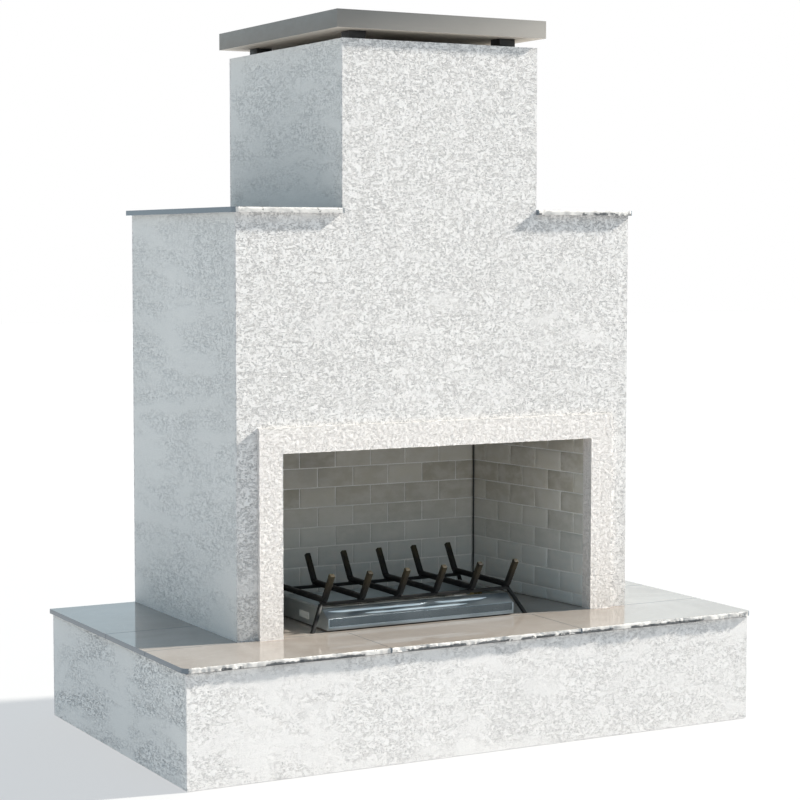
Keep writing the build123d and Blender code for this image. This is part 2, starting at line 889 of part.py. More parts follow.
hearth = hearth_slab()
grout = grout_width / 2
tile_edge = base_half + hearth_overhang + overrun
tile_front = (base_front - hearth_overhang - overrun, body_front - grout)
wing_joint = base_front + wing_tile_joint_depth
wings = ((body_front + grout, wing_joint - grout), (wing_joint + grout, base_back))
save("hearth_tile_front_left", hearth_tile(hearth, (-tile_edge, -front_tile_joint - grout), tile_front))
middle_x = (grout - front_tile_joint, front_tile_joint - grout)
save("hearth_tile_front_middle", hearth_tile(hearth, middle_x, tile_front))
save("hearth_tile_front_right", hearth_tile(hearth, (front_tile_joint + grout, tile_edge), tile_front))
save("hearth_tiles_left", [hearth_tile(hearth, (-tile_edge, -body_half), y) for y in wings])
save("hearth_tiles_right", [hearth_tile(hearth, (body_half, tile_edge), y) for y in wings])
save("firebox_floor_tile", firebox_floor())

save("body_frame", body_frame())
save("body_board_front", front_board())
save("body_board_back", back_board())
for side_name, place in (("left", other_side), ("right", lambda solid: solid)):
    save(f"body_board_{side_name}", place(body_side_board()))
    save(f"stucco_{side_name}", [place(part) for part in side_stucco()])
    save(f"shoulder_tile_{side_name}", place(shoulder_tile()))
    save(f"lining_{side_name}", place(lining_side_panel()))
save("shoulder_boards", both_sides(shoulder_board()))
save("chimney_side_boards", both_sides(chimney_side_board()))
save("stucco_front", front_stucco())
save("stucco_back", back_stucco())
save("opening_surround", opening_surround())

save("lining_back", lining_back_panel())
save("firebox_shell", firebox_shell())
save("lintel_angle", lintel_angle())
save("smoke_hood", smoke_hood())
save("flue_pipe", flue_pipe())
save("chimney_top_plate", chimney_top_plate())

save("cap_posts", [cap_post(side, end) for side in (-1, 1) for end in (-1, 1)])
save("cap_base", cap_base())
save("cap_pan", cap_pan() - cap_screw_holes())
save("cap_screws", cap_screws())

for bar_number in range(bar_count):
    save(f"grate_bar_{bar_number + 1}", grate_bar(bar_number))
save("grate_crossbars", [crossbar(grate_front + crossbar_inset), crossbar(grate_back - crossbar_inset)])
save("grate_legs", [grate_leg(side, end) for side in (-1, 1) for end in (-1, 1)])

save("burner_tray", burner_tray())
save("tray_plate", tray_plate())
save("burner_tube", burner_tube())
save("air_mixer", air_mixer())
save("air_shutter", air_shutter())
save("gas_jet", gas_jet())
save("burner_pipe", burner_pipe())
save("supply_pipe", supply_pipe())
save("valve_body", valve_body())
save("valve_stem", valve_stem())
save("valve_escutcheon", valve_escutcheon())
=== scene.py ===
import json
from math import cos, pi, radians, sin, tan

import bmesh
import bpy
from mathutils import Euler, Matrix, Quaternion, Vector


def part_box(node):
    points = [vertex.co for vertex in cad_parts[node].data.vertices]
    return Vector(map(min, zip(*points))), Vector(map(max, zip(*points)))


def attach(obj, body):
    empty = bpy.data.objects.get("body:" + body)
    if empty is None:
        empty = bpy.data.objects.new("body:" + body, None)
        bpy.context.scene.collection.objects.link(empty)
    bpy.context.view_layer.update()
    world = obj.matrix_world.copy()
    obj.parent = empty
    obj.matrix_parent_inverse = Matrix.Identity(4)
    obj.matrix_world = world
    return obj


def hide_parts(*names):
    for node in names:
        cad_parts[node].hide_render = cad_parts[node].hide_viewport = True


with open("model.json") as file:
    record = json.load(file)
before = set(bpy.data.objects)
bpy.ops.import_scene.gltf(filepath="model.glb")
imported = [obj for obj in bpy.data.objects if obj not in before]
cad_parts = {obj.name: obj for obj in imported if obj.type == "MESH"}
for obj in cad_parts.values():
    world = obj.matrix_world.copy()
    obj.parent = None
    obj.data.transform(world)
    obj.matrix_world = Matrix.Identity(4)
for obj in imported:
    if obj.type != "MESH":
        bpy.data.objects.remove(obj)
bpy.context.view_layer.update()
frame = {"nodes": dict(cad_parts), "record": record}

scene = bpy.context.scene
scene.view_settings.view_transform = "Standard"


# The view: the camera stands ahead of the fireplace's left corner, a little above the hearth. The
# key light comes low from the far right, as late sun does, cool fill from all round, and a faint
# lamp from the left. The floor is plain and pale.
def box_of(node):
    """A CAD node's lowest and highest corners."""
    return [Vector(corner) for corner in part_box(node)]


base_low, base_high = box_of("base_stucco")
camera = bpy.data.objects.new("camera", bpy.data.cameras.new("camera"))
camera.data.sensor_width = 36
camera.data.lens = 94.76
camera.location = (-2.8694, base_low.y - 4.7604, 1.3495)
camera.rotation_mode = "QUATERNION"
tilt, heading, roll = radians(90 - 4.15), radians(-28.67), radians(0.06)
camera.rotation_quaternion = Euler((tilt, 0, heading)).to_quaternion() @ Quaternion((0, 0, 1), roll)
scene.collection.objects.link(camera)
scene.camera = camera


def sun_lamp(name, energy, spread, colour, direction):
    """A lamp like the sun, with its width in degrees and the way it shines."""
    lamp = bpy.data.objects.new(name, bpy.data.lights.new(name, "SUN"))
    lamp.data.energy = energy
    lamp.data.angle = radians(spread)
    lamp.data.color = colour
    lamp.rotation_euler = Vector(direction).to_track_quat("-Z", "Y").to_euler()
    scene.collection.objects.link(lamp)
    return lamp


late_sun = {"spread": 3, "colour": (1.0, 0.945, 0.86), "direction": (-5.9, 1.0, -4.2)}
key = sun_lamp("key_light", 8.8, **late_sun)
sun_lamp("side_fill_light", 0.13, 60, (0.93, 0.97, 1.0), (1.0, 0.25, 0.12))


def fill_in(node, inputs):
    """Fills a node's inputs with values or links."""
    for name, value in inputs.items():
        if isinstance(value, bpy.types.NodeSocket):
            node.id_data.links.new(value, node.inputs[name])
        else:
            node.inputs[name].default_value = value


def put(tree, kind, inputs=None, **settings):
    """Adds a node, sets it up, and fills its inputs."""
    made = tree.nodes.new(kind)
    for name, value in settings.items():
        setattr(made, name, value)
    fill_in(made, inputs or {})
    return made


def blend(tree, amount, first, second):
    """A colour between two others."""
    first, second = ((*c, 1) if isinstance(c, tuple) else c for c in (first, second))
    return put(tree, "ShaderNodeMix", {0: amount, 6: first, 7: second}, data_type="RGBA").outputs[2]


world = bpy.data.worlds.new("open_sky")
world.use_nodes = True
sky = world.node_tree
sky.nodes.clear()
way = put(sky, "ShaderNodeTexCoord").outputs["Generated"]
overhead = put(sky, "ShaderNodeSeparateXYZ", {0: way}).outputs[2]
strength = put(sky, "ShaderNodeMapRange", {0: overhead, 1: 0.0, 2: 1.0, 3: 0.62, 4: 0.54}).outputs[0]
height = put(sky, "ShaderNodeMapRange", {0: overhead, 1: 0.2, 2: 0.9}).outputs[0]
tint = blend(sky, height, (0.89, 0.965, 0.975), (0.34, 0.65, 0.97))
white = (1, 1, 1, 1)
fill = put(sky, "ShaderNodeBackground", {"Color": tint, "Strength": strength})
glint = put(sky, "ShaderNodeBackground", {"Color": (0.79, 0.93, 1.0, 1), "Strength": 1.03})
plain = put(sky, "ShaderNodeBackground", {"Color": white, "Strength": 1.0})
ray = put(sky, "ShaderNodeLightPath").outputs
both = put(sky, "ShaderNodeMixShader", {0: ray["Is Glossy Ray"], 1: fill.outputs[0], 2: glint.outputs[0]})
both = put(sky, "ShaderNodeMixShader", {0: ray["Is Camera Ray"], 1: both.outputs[0], 2: plain.outputs[0]})
put(sky, "ShaderNodeOutputWorld", {"Surface": both.outputs[0]})
scene.world = world


def new_material(name):
    """A material with its tree and its shader."""
    material = bpy.data.materials.new(name)
    material.use_nodes = True
    return material, material.node_tree, material.node_tree.nodes["Principled BSDF"]


def object_place(tree, scale=(1, 1, 1)):
    """Object coordinates, stretched by a scale for each axis."""
    place = put(tree, "ShaderNodeTexCoord").outputs["Object"]
    return put(tree, "ShaderNodeMapping", {"Vector": place, "Scale": scale}).outputs[0]


def noise(tree, place, scale, detail=2.0, roughness=0.5, distortion=0.0):
    inputs = {"Vector": place, "Scale": scale, "Detail": detail, "Roughness": roughness}
    inputs["Distortion"] = distortion
    return put(tree, "ShaderNodeTexNoise", inputs).outputs["Fac"]


floor_half = 30
floor_mesh = bpy.data.meshes.new("studio_floor")
corners = [Vector((x, y, 0)) * floor_half for x, y in ((-1, -1), (1, -1), (1, 1), (-1, 1))]
floor_mesh.from_pydata(corners, [], [(0, 1, 2, 3)])
studio_floor = bpy.data.objects.new("studio_floor", floor_mesh)
scene.collection.objects.link(studio_floor)
floor_finish, tree, shader = new_material("studio_floor")
cloud = noise(tree, object_place(tree), 0.8)
fill_in(shader, {
    "Base Color": blend(tree, cloud, (0.20, 0.20, 0.20), (0.22, 0.22, 0.22)), "Roughness": 0.9,
    "Emission Color": white, "Emission Strength": 0.52,
})
floor_mesh.materials.append(floor_finish)


# The base frame and the body frame: square galvanised steel tubes, cut to length and welded, with
# the zinc's grey bloom. They stand behind the boards and don't show.
def ramp(tree, value, low, high, start=0.0, stop=1.0):
    """The value stretched from low..high to start..stop, and held at both ends."""
    inputs = {"Value": value, "From Min": low, "From Max": high, "To Min": start, "To Max": stop}
    return put(tree, "ShaderNodeMapRange", inputs, interpolation_type="SMOOTHSTEP").outputs[0]


def bump(tree, height, distance, strength=1.0):
    inputs = {"Height": height, "Distance": distance, "Strength": strength}
    return put(tree, "ShaderNodeBump", inputs).outputs[0]


def join(tree, operation, first, second):
    """Two values put together by a sum."""
    return put(tree, "ShaderNodeMath", {0: first, 1: second}, operation=operation).outputs[0]


def dress(shader, colour, roughness, relief, **others):
    """Gives a shader its colour, roughness and bump, and other inputs by their names."""
    inputs = {"Base Color": colour, "Roughness": roughness, "Normal": relief}
    fill_in(shader, inputs | {name.replace("_", " "): value for name, value in others.items()})


def zinc_finish(name, tone, spangle):
    material, tree, shader = new_material(name)
    place = object_place(tree)
    cells = put(tree, "ShaderNodeTexVoronoi", {"Vector": place, "Scale": spangle}).outputs["Color"]
    bloom = noise(tree, place, 14.0, 4.0)
    grain = put(tree, "ShaderNodeSeparateColor", {"Color": cells}).outputs[0]
    shade = join(tree, "MULTIPLY_ADD", grain, 0.35)
    mixed = join(tree, "MULTIPLY", shade, ramp(tree, bloom, 0.3, 0.7, 0.5, 1.0))
    colour = blend(tree, mixed, tuple(v * 0.72 for v in tone), tone)
    dress(shader, colour, ramp(tree, bloom, 0.2, 0.8, 0.38, 0.6), bump(tree, bloom, 0.0004), Metallic=1.0)
    return material


def paint(material, *names):
    """Gives CAD nodes their finish."""
    for name in names:
        for slot in frame["nodes"][name].material_slots:
            slot.material = material


frame_zinc = zinc_finish("frame_zinc", (0.60, 0.61, 0.62), 160.0)
paint(frame_zinc, "base_frame", "body_frame")


# Fibre cement boards, screwed to the frames: pressed grey sheet with a faint felt pattern and
# paler, dusty clouds.
board_grey, tree, shader = new_material("board_grey")
cloud = noise(tree, object_place(tree), 5.0, 5.0)
fibre = noise(tree, object_place(tree, (1, 1, 4)), 220.0, 3.0)
tone = blend(tree, ramp(tree, cloud, 0.3, 0.7), (0.33, 0.33, 0.32), (0.45, 0.45, 0.43))
tone = blend(tree, ramp(tree, fibre, 0.3, 0.75, 0.0, 0.5), tone, (0.55, 0.55, 0.53))
dress(shader, tone, ramp(tree, fibre, 0.3, 0.7, 0.8, 0.95), bump(tree, fibre, 0.0003))
for wall in ("base", "body"):
    paint(board_grey, *(f"{wall}_board_{side}" for side in ("front", "back", "left", "right")))
paint(board_grey, "hearth_deck", "shoulder_boards", "chimney_side_boards")


# The stucco: an 8 mm coat of painted render over the boards, dragged flat with a trowel so that it
# dries with smooth patches between winding creases. Each wall's coat is laid as a fine net and then
# creased.
body_of = {node: body for body, nodes in frame["record"]["behaviour"]["bodies"].items() for node in nodes}
wall_low, wall_high = box_of("stucco_front")
side_low, side_high = box_of("stucco_right")
rear_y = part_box("stucco_back")[1][1]
shoulder_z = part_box("shoulder_tile_right")[0][2]
chimney_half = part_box("shoulder_tile_right")[0][0]
hearth_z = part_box("firebox_floor_tile")[1][2]
coat_depth = wall_high.y - wall_low.y
cutout_half = 0.4975
cutout_top = 0.815


def stops(marks, pitch):
    """Even steps between marks, about a pitch long."""
    places = []
    for low, high in zip(marks, marks[1:]):
        count = max(1, round((high - low) / pitch))
        places += [low + (high - low) * step / count for step in range(count)]
    return places + [marks[-1]]


def lay_coat(mesh, areas, place, depth, pitch, is_open=lambda spot: False):
    """Adds a skin over flat areas (u0, u1, v0, v1), closed by a rim and a plain back."""
    lean = mesh.verts.layers.float_vector.get("outward") or mesh.verts.layers.float_vector.new("outward")
    outward = (place(0, 0, 0) - place(0, 0, 1)).normalized()
    us = stops(sorted({u for area in areas for u in area[:2]}), pitch)
    vs = stops(sorted({v for area in areas for v in area[2:]}), pitch)
    net = {}
    faces = []
    for i, (u0, u1) in enumerate(zip(us, us[1:])):
        for j, (v0, v1) in enumerate(zip(vs, vs[1:])):
            u, v = (u0 + u1) / 2, (v0 + v1) / 2
            if not any(a[0] < u < a[1] and a[2] < v < a[3] for a in areas):
                continue
            corners = []
            for knot in ((i, j), (i + 1, j), (i + 1, j + 1), (i, j + 1)):
                if knot not in net:
                    net[knot] = mesh.verts.new(place(us[knot[0]], vs[knot[1]], 0))
                    net[knot][lean] = outward
                corners.append(net[knot])
            faces.append(mesh.faces.new(corners))
    edges = {edge for face in faces for edge in face.edges if len(edge.link_faces) == 1}
    rows = {}
    for edge in edges:
        middle = (edge.verts[0].co + edge.verts[1].co) / 2
        away = (middle - edge.link_faces[0].calc_center_median()).normalized()
        for vert in edge.verts:
            rows.setdefault(vert, Vector())
            rows[vert] += away
    lines = {}
    for vert, away in rows.items():
        side = away.normalized() if is_open(vert.co) else Vector()
        vert[lean] = (outward + side).normalized()
        lines[vert] = [vert]
        for share in (0.5, 1.0):
            lines[vert].append(mesh.verts.new(vert.co - outward * depth * share))
            lines[vert][-1][lean] = side
    back = []
    for edge in edges:
        first, second = edge.verts
        for step in range(2):
            a, b = lines[first][step], lines[second][step]
            c, d = lines[second][step + 1], lines[first][step + 1]
            mesh.faces.new((a, b, c, d))
        back.append(mesh.edges.get((lines[first][2], lines[second][2])))
    bmesh.ops.edgeloop_fill(mesh, edges=back)


def new_tree(name, **inputs):
    """An empty Geometry Nodes tree with a mesh going in and out, and named sizes."""
    tree = bpy.data.node_groups.new(name, "GeometryNodeTree")
    tree.interface.new_socket("Mesh", in_out="INPUT", socket_type="NodeSocketGeometry")
    tree.interface.new_socket("Mesh", in_out="OUTPUT", socket_type="NodeSocketGeometry")
    for label, kind in inputs.items():
        tree.interface.new_socket(label, in_out="INPUT", socket_type="NodeSocket" + kind)
    return tree, tree.nodes.new("NodeGroupInput").outputs, tree.nodes.new("NodeGroupOutput")


def coated(tree, mesh, material):
    """A mesh in a tree with a finish on it."""
    return put(tree, "GeometryNodeSetMaterial", {"Geometry": mesh, "Material": material}).outputs[0]


def end_tree(tree, mesh, material, out):
    """Ends a tree: real meshes for all copies, and the finish on them."""
    real = put(tree, "GeometryNodeRealizeInstances", {"Geometry": mesh}).outputs[0]
    tree.links.new(coated(tree, real, material), out.inputs[0])


def stretch(tree, vector, factors):
    """A vector with a factor for each axis."""
    return put(tree, "ShaderNodeVectorMath", {0: vector, 1: factors}, operation="MULTIPLY").outputs[0]


def sink(tree, mesh, amount):
    """A tree's mesh moved in by an amount, against its outward directions."""
    outward = {"Name": "outward"}
    lean = put(tree, "GeometryNodeInputNamedAttribute", outward, data_type="FLOAT_VECTOR").outputs[0]
    move = put(tree, "ShaderNodeVectorMath", {0: lean, "Scale": amount}, operation="SCALE").outputs[0]
    move = stretch(tree, move, (-1, -1, -1))
    return put(tree, "GeometryNodeSetPosition", {"Geometry": mesh, "Offset": move}).outputs[0]


def run_tree(piece, tree, **values):
    """Runs a tree on a piece and keeps what comes out as the piece's plain mesh."""
    modifier = piece.modifiers.new("made", "NODES")
    modifier.node_group = tree
    for item in tree.interface.items_tree:
        if item.in_out == "INPUT" and item.name in values:
            modifier[item.identifier] = values[item.name]
    settle(piece)


def settle(piece):
    """Keeps a piece's evaluated shape as its plain mesh, and takes its modifiers off."""
    graph = bpy.context.evaluated_depsgraph_get()
    rough = piece.data
    piece.data = bpy.data.meshes.new_from_object(piece.evaluated_get(graph))
    piece.modifiers.clear()
    piece.data.name = piece.name
    bpy.data.meshes.remove(rough)


def new_piece(name, mesh):
    """An object at the origin from a bmesh."""
    data = bpy.data.meshes.new(name)
    mesh.to_mesh(data)
    mesh.free()
    piece = bpy.data.objects.new(name, data)
    scene.collection.objects.link(piece)
    return piece


def smooth(piece, angle):
    """Smooth shading, with sharp edges from an angle up."""
    piece.data.shade_smooth()
    piece.data.set_sharp_from_angle(angle=radians(angle))


def stand_for(piece, *nodes):
    """The piece takes the place and the body of CAD nodes."""
    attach(piece, body_of[nodes[0]])
    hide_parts(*nodes)


def lace(tree, place, grain):
    """The winding creases between the trowel's smears: 0.5 on a crease, more or less beside it."""
    return noise(tree, stretch(tree, place, (0.75, 0.36, 2.4)), grain, 3.0, 0.55, 0.6)


def off_middle(tree, value):
    """How far a noise is from its middle, which it crosses on winding lines."""
    return join(tree, "ABSOLUTE", join(tree, "SUBTRACT", value, 0.5), 0.0)


roughen, given, out = new_tree(
    "lace_coat", Depth="Float", Grain="Float", Patches="Float", Smooth="Float", Wear="Float",
    Finish="Material",
)
place = put(roughen, "GeometryNodeInputPosition").outputs[0]
patch = noise(roughen, stretch(roughen, place, (0.8, 0.45, 1.7)), given["Patches"], 5.0, 0.62, 0.5)
patch_rim = 0.27
rough = ramp(roughen, patch, given["Smooth"], join(roughen, "ADD", given["Smooth"], patch_rim))
swell = lace(roughen, place, given["Grain"])
crease = ramp(roughen, off_middle(roughen, swell), 0.10, 0.0)
pitted = ramp(roughen, swell, 0.42, 0.28, 0.0, 0.8)
worked = join(roughen, "MULTIPLY", join(roughen, "MAXIMUM", crease, pitted), rough)
sag = join(roughen, "MULTIPLY", rough, 0.2)
low = put(roughen, "ShaderNodeClamp", {"Value": join(roughen, "ADD", worked, sag)}).outputs[0]
noted = put(roughen, "GeometryNodeStoreNamedAttribute", {
    "Geometry": given["Mesh"], "Name": "worked", "Value": join(roughen, "MULTIPLY", rough, given["Wear"]),
}).outputs[0]
moved = sink(roughen, noted, join(roughen, "MULTIPLY", low, given["Depth"]))
end_tree(roughen, moved, given["Finish"], out)


def levelness(tree):
    """How far a face looks up: 1 on a level top, 0 on a wall."""
    facing = put(tree, "ShaderNodeNewGeometry").outputs["Normal"]
    return put(tree, "ShaderNodeSeparateXYZ", {0: facing}).outputs[2]


def attribute(tree, name):
    return put(tree, "ShaderNodeAttribute", attribute_name=name).outputs["Fac"]


def stucco_finish(name, tone, dark, light, grain, contrast):
    """Painted stucco: clean flats, creases and pits darkened as painted shade, rims lightened as painted
    highlight, level faces darker.
    """
    material, tree, shader = new_material(name)
    place = object_place(tree)
    worked = attribute(tree, "worked")
    heights = []
    darkness = []
    for scale, broken, depth in ((grain, 0.42, 0.78), (grain * 1.9, 0.46, 0.95)):
        swell = lace(tree, place, scale)
        gaps = ramp(tree, noise(tree, place, scale * 0.9, 2.0), broken, broken + 0.08)
        line = join(tree, "MULTIPLY", ramp(tree, off_middle(tree, swell), 0.034, 0.008), gaps)
        darkness.append(join(tree, "MULTIPLY", line, depth))
        heights.append(swell)
    # The creases and pits are darkened in the colour as painted shade, and the raised rims are lightened as
    # painted highlight.
    lines = join(tree, "MULTIPLY", join(tree, "MAXIMUM", *darkness), worked)
    pits = join(tree, "MULTIPLY", ramp(tree, noise(tree, place, 170.0, 2.0), 0.38, 0.32), worked)
    deep = join(tree, "MAXIMUM", lines, pits)
    rims = join(tree, "MULTIPLY", ramp(tree, heights[0], 0.60, 0.72), worked)
    sand = noise(tree, place, 420.0, 3.0, 0.6)
    cloud = noise(tree, place, 2.6, 4.0)
    colour = blend(tree, ramp(tree, cloud, 0.3, 0.7, 0.0, 0.7), tone, tuple(v * 0.93 for v in tone))
    lifted = join(tree, "MAXIMUM", join(tree, "MULTIPLY", worked, 0.6), rims)
    colour = blend(tree, lifted, colour, light)
    colour = blend(tree, ramp(tree, sand, 0.25, 0.6, 0.16, 0.0), colour, dark)
    # Faces that look up are blended towards a darker grey.
    colour = blend(tree, ramp(tree, levelness(tree), 0.6, 0.9, 0.0, 0.5), colour, (0.40, 0.385, 0.36))
    colour = blend(tree, join(tree, "MULTIPLY", deep, contrast), colour, dark)
    height = join(tree, "SUBTRACT", join(tree, "MULTIPLY", rims, 0.3), deep)
    height = join(tree, "ADD", height, join(tree, "MULTIPLY", sand, 0.42))
    dress(shader, colour, 0.9, bump(tree, height, 0.0017, 0.9), Specular_IOR_Level=0.25)
    return material


def finish_coat(name, mesh, node, depth, grain, patches, wear, finish):
    """Creases a coat, which then stands for its node; lower patches leave fewer smooth ones."""
    bmesh.ops.recalc_face_normals(mesh, faces=mesh.faces)
    piece = new_piece(name, mesh)
    run_tree(
        piece, roughen, Depth=depth, Grain=grain, Patches=6.5, Smooth=patches, Wear=wear, Finish=finish,
    )
    smooth(piece, 55)
    stand_for(piece, node)


wall_grain = 64.0
wall_relief = 0.0007
front_relief = 0.0003
front_patches = 0.22
front_wear = 0.74
side_patches = 0.34
side_wear = 0.52
hair = 0.0005
wall_stucco = stucco_finish(
    "wall_stucco", (0.82, 0.82, 0.803), (0.36, 0.37, 0.38), (0.94, 0.94, 0.923), wall_grain, 0.8,
)
front_stucco = stucco_finish(
    "front_stucco", (0.84, 0.823, 0.811), (0.34, 0.342, 0.35), (0.935, 0.92, 0.91), wall_grain, 0.8,
)

body_half = wall_high.x
stack_top = wall_high.z
foot_z = wall_low.z


def on_wall_top(spot):
    return spot.z > stack_top - hair


def on_outer_edge(spot):
    """True on the coat's free edges: both ends of the wall and of the chimney, and its top."""
    at_body = abs(abs(spot.x) - body_half) < hair
    at_stack = abs(abs(spot.x) - chimney_half) < hair and spot.z > shoulder_z - hair
    return at_body or at_stack or on_wall_top(spot)


stack = (-chimney_half, chimney_half, shoulder_z, stack_top)
legs = [(-body_half, -cutout_half, foot_z, cutout_top), (cutout_half, body_half, foot_z, cutout_top)]
front_areas = [(-body_half, body_half, cutout_top, shoulder_z), stack] + legs
rear_areas = [(-body_half, body_half, foot_z, shoulder_z), stack]
for name, node, areas, face_y, turn, pitch, relief in (
    ("front_coat", "stucco_front", front_areas, wall_low.y, 1, 0.0037, front_relief),
    ("rear_coat", "stucco_back", rear_areas, rear_y, -1, 0.0046, wall_relief),
):
    wall = bmesh.new()
    wall_place = lambda u, v, w: Vector((u, face_y + turn * w, v))
    lay_coat(wall, areas, wall_place, coat_depth, pitch, on_outer_edge)
    finish_coat(name, wall, node, relief, wall_grain, front_patches, front_wear, front_stucco)

for name, node, side in (("left_coat", "stucco_left", -1), ("right_coat", "stucco_right", 1)):
    walls = bmesh.new()
    for half, low, high in ((body_half, foot_z, shoulder_z), (chimney_half, shoulder_z, stack_top)):
        side_place = lambda u, v, w: Vector((side * (half - w), u, v))
        lay_coat(walls, [(side_low.y, side_high.y, low, high)], side_place, coat_depth, 0.0038, on_wall_top)
    finish_coat(name, walls, node, wall_relief, wall_grain, side_patches, side_wear, wall_stucco)


# The base's stucco: the same coat round its four walls, 2 mm clear of the ground, the front and back
# over the ends. The left end is worn most. The right wall is left open round the valve's sleeve,
# under the cover plate.
sleeve_low, sleeve_high = box_of("valve_escutcheon")
sleeve_y, sleeve_z = (sleeve_low.y + sleeve_high.y) / 2, (sleeve_low.z + sleeve_high.z) / 2
hole = 0.0135
base_pitch = 0.0043
end_x = base_high.x
near_y, far_y = base_low.y + coat_depth, base_high.y - coat_depth
base_z = (base_low.z, base_high.z)


def on_base_corner(spot):
    return abs(abs(spot.x) - end_x) < hair


base_coat = bmesh.new()
for face_y, turn in ((base_low.y, 1), (base_high.y, -1)):
    long_place = lambda u, v, w: Vector((u, face_y + turn * w, v))
    lay_coat(base_coat, [(-end_x, end_x, *base_z)], long_place, coat_depth, base_pitch, on_base_corner)
finish_coat("base_coat", base_coat, "base_stucco", front_relief, wall_grain, 0.30, 0.58, front_stucco)
base_left = bmesh.new()
left_place = lambda u, v, w: Vector((w - end_x, u, v))
lay_coat(base_left, [(near_y, far_y, *base_z)], left_place, coat_depth, base_pitch)
finish_coat("base_coat_left", base_left, "base_stucco", wall_relief, wall_grain, 0.39, 1.0, wall_stucco)
base_right = bmesh.new()
right_place = lambda u, v, w: Vector((end_x - w, u, v))
for near, far, edge in ((near_y, sleeve_y, sleeve_y - hole), (sleeve_y, far_y, sleeve_y + hole)):
    beside, across = ((near, edge), (edge, far)) if edge < sleeve_y else ((edge, far), (near, edge))
    areas = [(*beside, *base_z), (*across, base_z[0], sleeve_z - hole)]
    areas.append((*across, sleeve_z + hole, base_z[1]))
    lay_coat(base_right, areas, right_place, coat_depth, base_pitch)
finish_coat(
    "base_coat_right", base_right, "base_stucco", wall_relief, wall_grain, front_patches, 0.8, wall_stucco,
)


# The surround: a thicker band of warmer, coarser stucco round the opening, with a smooth return
# that covers the cut edge of the board.
band_low, band_high = box_of("opening_surround")
opening_half = 0.4875
opening_top = 0.805
band_grain = 98.0
warm_stucco = stucco_finish(
    "warm_stucco", (0.945, 0.905, 0.88), (0.52, 0.49, 0.45), (0.985, 0.955, 0.935), band_grain, 0.62,
)


def round_opening(inner, outer, top):
    """The areas of a frame round the opening: two legs from the hearth and a head."""
    left_leg = (-outer, -inner, hearth_z, opening_top)
    return [left_leg, (inner, outer, hearth_z, opening_top), (-outer, outer, opening_top, top)]


band = bmesh.new()
face_place = lambda u, v, w: Vector((u, band_low.y + w, v))
above_hearth = lambda spot: spot.z > hearth_z + hair
face_areas = round_opening(opening_half, band_high.x, band_high.z)
lay_coat(band, face_areas, face_place, wall_low.y - band_low.y, 0.0035, above_hearth)
return_place = lambda u, v, w: Vector((u, wall_low.y + w, v))
return_areas = round_opening(opening_half, cutout_half, cutout_top)
lay_coat(band, return_areas, return_place, band_high.y - wall_low.y, 0.01)
finish_coat("opening_band", band, "opening_surround", 0.0008, band_grain, 0.14, 0.66, warm_stucco)


# The mat under the tiles: orange plastic pressed into square pockets. It doesn't show.
mat_orange, tree, shader = new_material("mat_orange")
place = object_place(tree)
pockets = {"Vector": place, "Scale": 30.0, "Mortar Size": 0.06, "Brick Width": 0.5, "Row Height": 0.5}
pocket = put(tree, "ShaderNodeTexBrick", pockets, offset=0.0).outputs["Fac"]
tone = blend(tree, pocket, (0.62, 0.19, 0.05), (0.80, 0.28, 0.08))
dress(shader, tone, ramp(tree, noise(tree, place, 60.0), 0.3, 0.7, 0.45, 0.6), bump(tree, pocket, 0.001))
paint(mat_orange, "hearth_membrane")


# Hearth, shoulder and firebox floor tiles: polished taupe stone with faint clouds and veins. Their
# upright faces are painted a dark blue grey as painted shade and reflection. The front edges are
# left as broken, where the stone is white with dark speckles, over a painted shadow line at its foot.
tile_polish, tree, shader = new_material("tile_polish")
place = object_place(tree, (1, 1, 1.4))
cloud = noise(tree, place, 2.6, 5.0, 0.6, 0.6)
streak = noise(tree, object_place(tree, (0.6, 1.8, 1.8)), 7.0, 6.0, 0.6, 0.9)
vein_noise = noise(tree, object_place(tree, (0.8, 1.3, 1.3)), 5.5, 8.0, 0.62, 1.2)
vein = ramp(tree, off_middle(tree, vein_noise), 0.012, 0.0)
tone = blend(tree, ramp(tree, cloud, 0.32, 0.68), (0.29, 0.252, 0.218), (0.36, 0.325, 0.292))
tone = blend(tree, ramp(tree, streak, 0.5, 0.8, 0.0, 0.35), tone, (0.34, 0.32, 0.29))
tone = blend(tree, join(tree, "MULTIPLY", vein, 0.14), tone, (0.50, 0.48, 0.45))
# Upright faces are painted a dark blue grey: painted shade and reflection on the tiles' edges.
upright_shade = ramp(tree, levelness(tree), 0.5, 0.2)
tone = blend(tree, upright_shade, tone, (0.165, 0.195, 0.225))
broken = attribute(tree, "broken")
rise = attribute(tree, "rise")
ragged = noise(tree, object_place(tree, (1, 1, 2.2)), 60.0, 5.0, 0.62)
swing = join(tree, "SUBTRACT", ragged, 0.5)
edge = join(tree, "ADD", broken, join(tree, "MULTIPLY", swing, 1.8))
white = ramp(tree, edge, 0.45, 0.6)
# A broken dark line low on the front edge: the painted shadow of the gap under the tile.
shadow_line_noise = noise(tree, object_place(tree, (1, 1, 0.6)), 9.0, 6.0, 0.62)
shadow_line_top = join(tree, "ADD", 0.42, join(tree, "MULTIPLY", swing, 1.1))
under_top = ramp(tree, join(tree, "SUBTRACT", rise, shadow_line_top), 0.06, -0.06)
shadow_line = join(tree, "MULTIPLY", ramp(tree, shadow_line_noise, 0.47, 0.51), under_top)
spot = ramp(tree, noise(tree, place, 75.0, 4.0, 0.6), 0.35, 0.30)
mottle = ramp(tree, noise(tree, place, 28.0, 3.0), 0.35, 0.62)
pale = blend(tree, mottle, (0.46, 0.45, 0.44), (0.72, 0.70, 0.675))
stone = blend(tree, join(tree, "MAXIMUM", shadow_line, spot), pale, (0.09, 0.095, 0.10))
gloss = ramp(tree, streak, 0.3, 0.7, 0.05, 0.09)
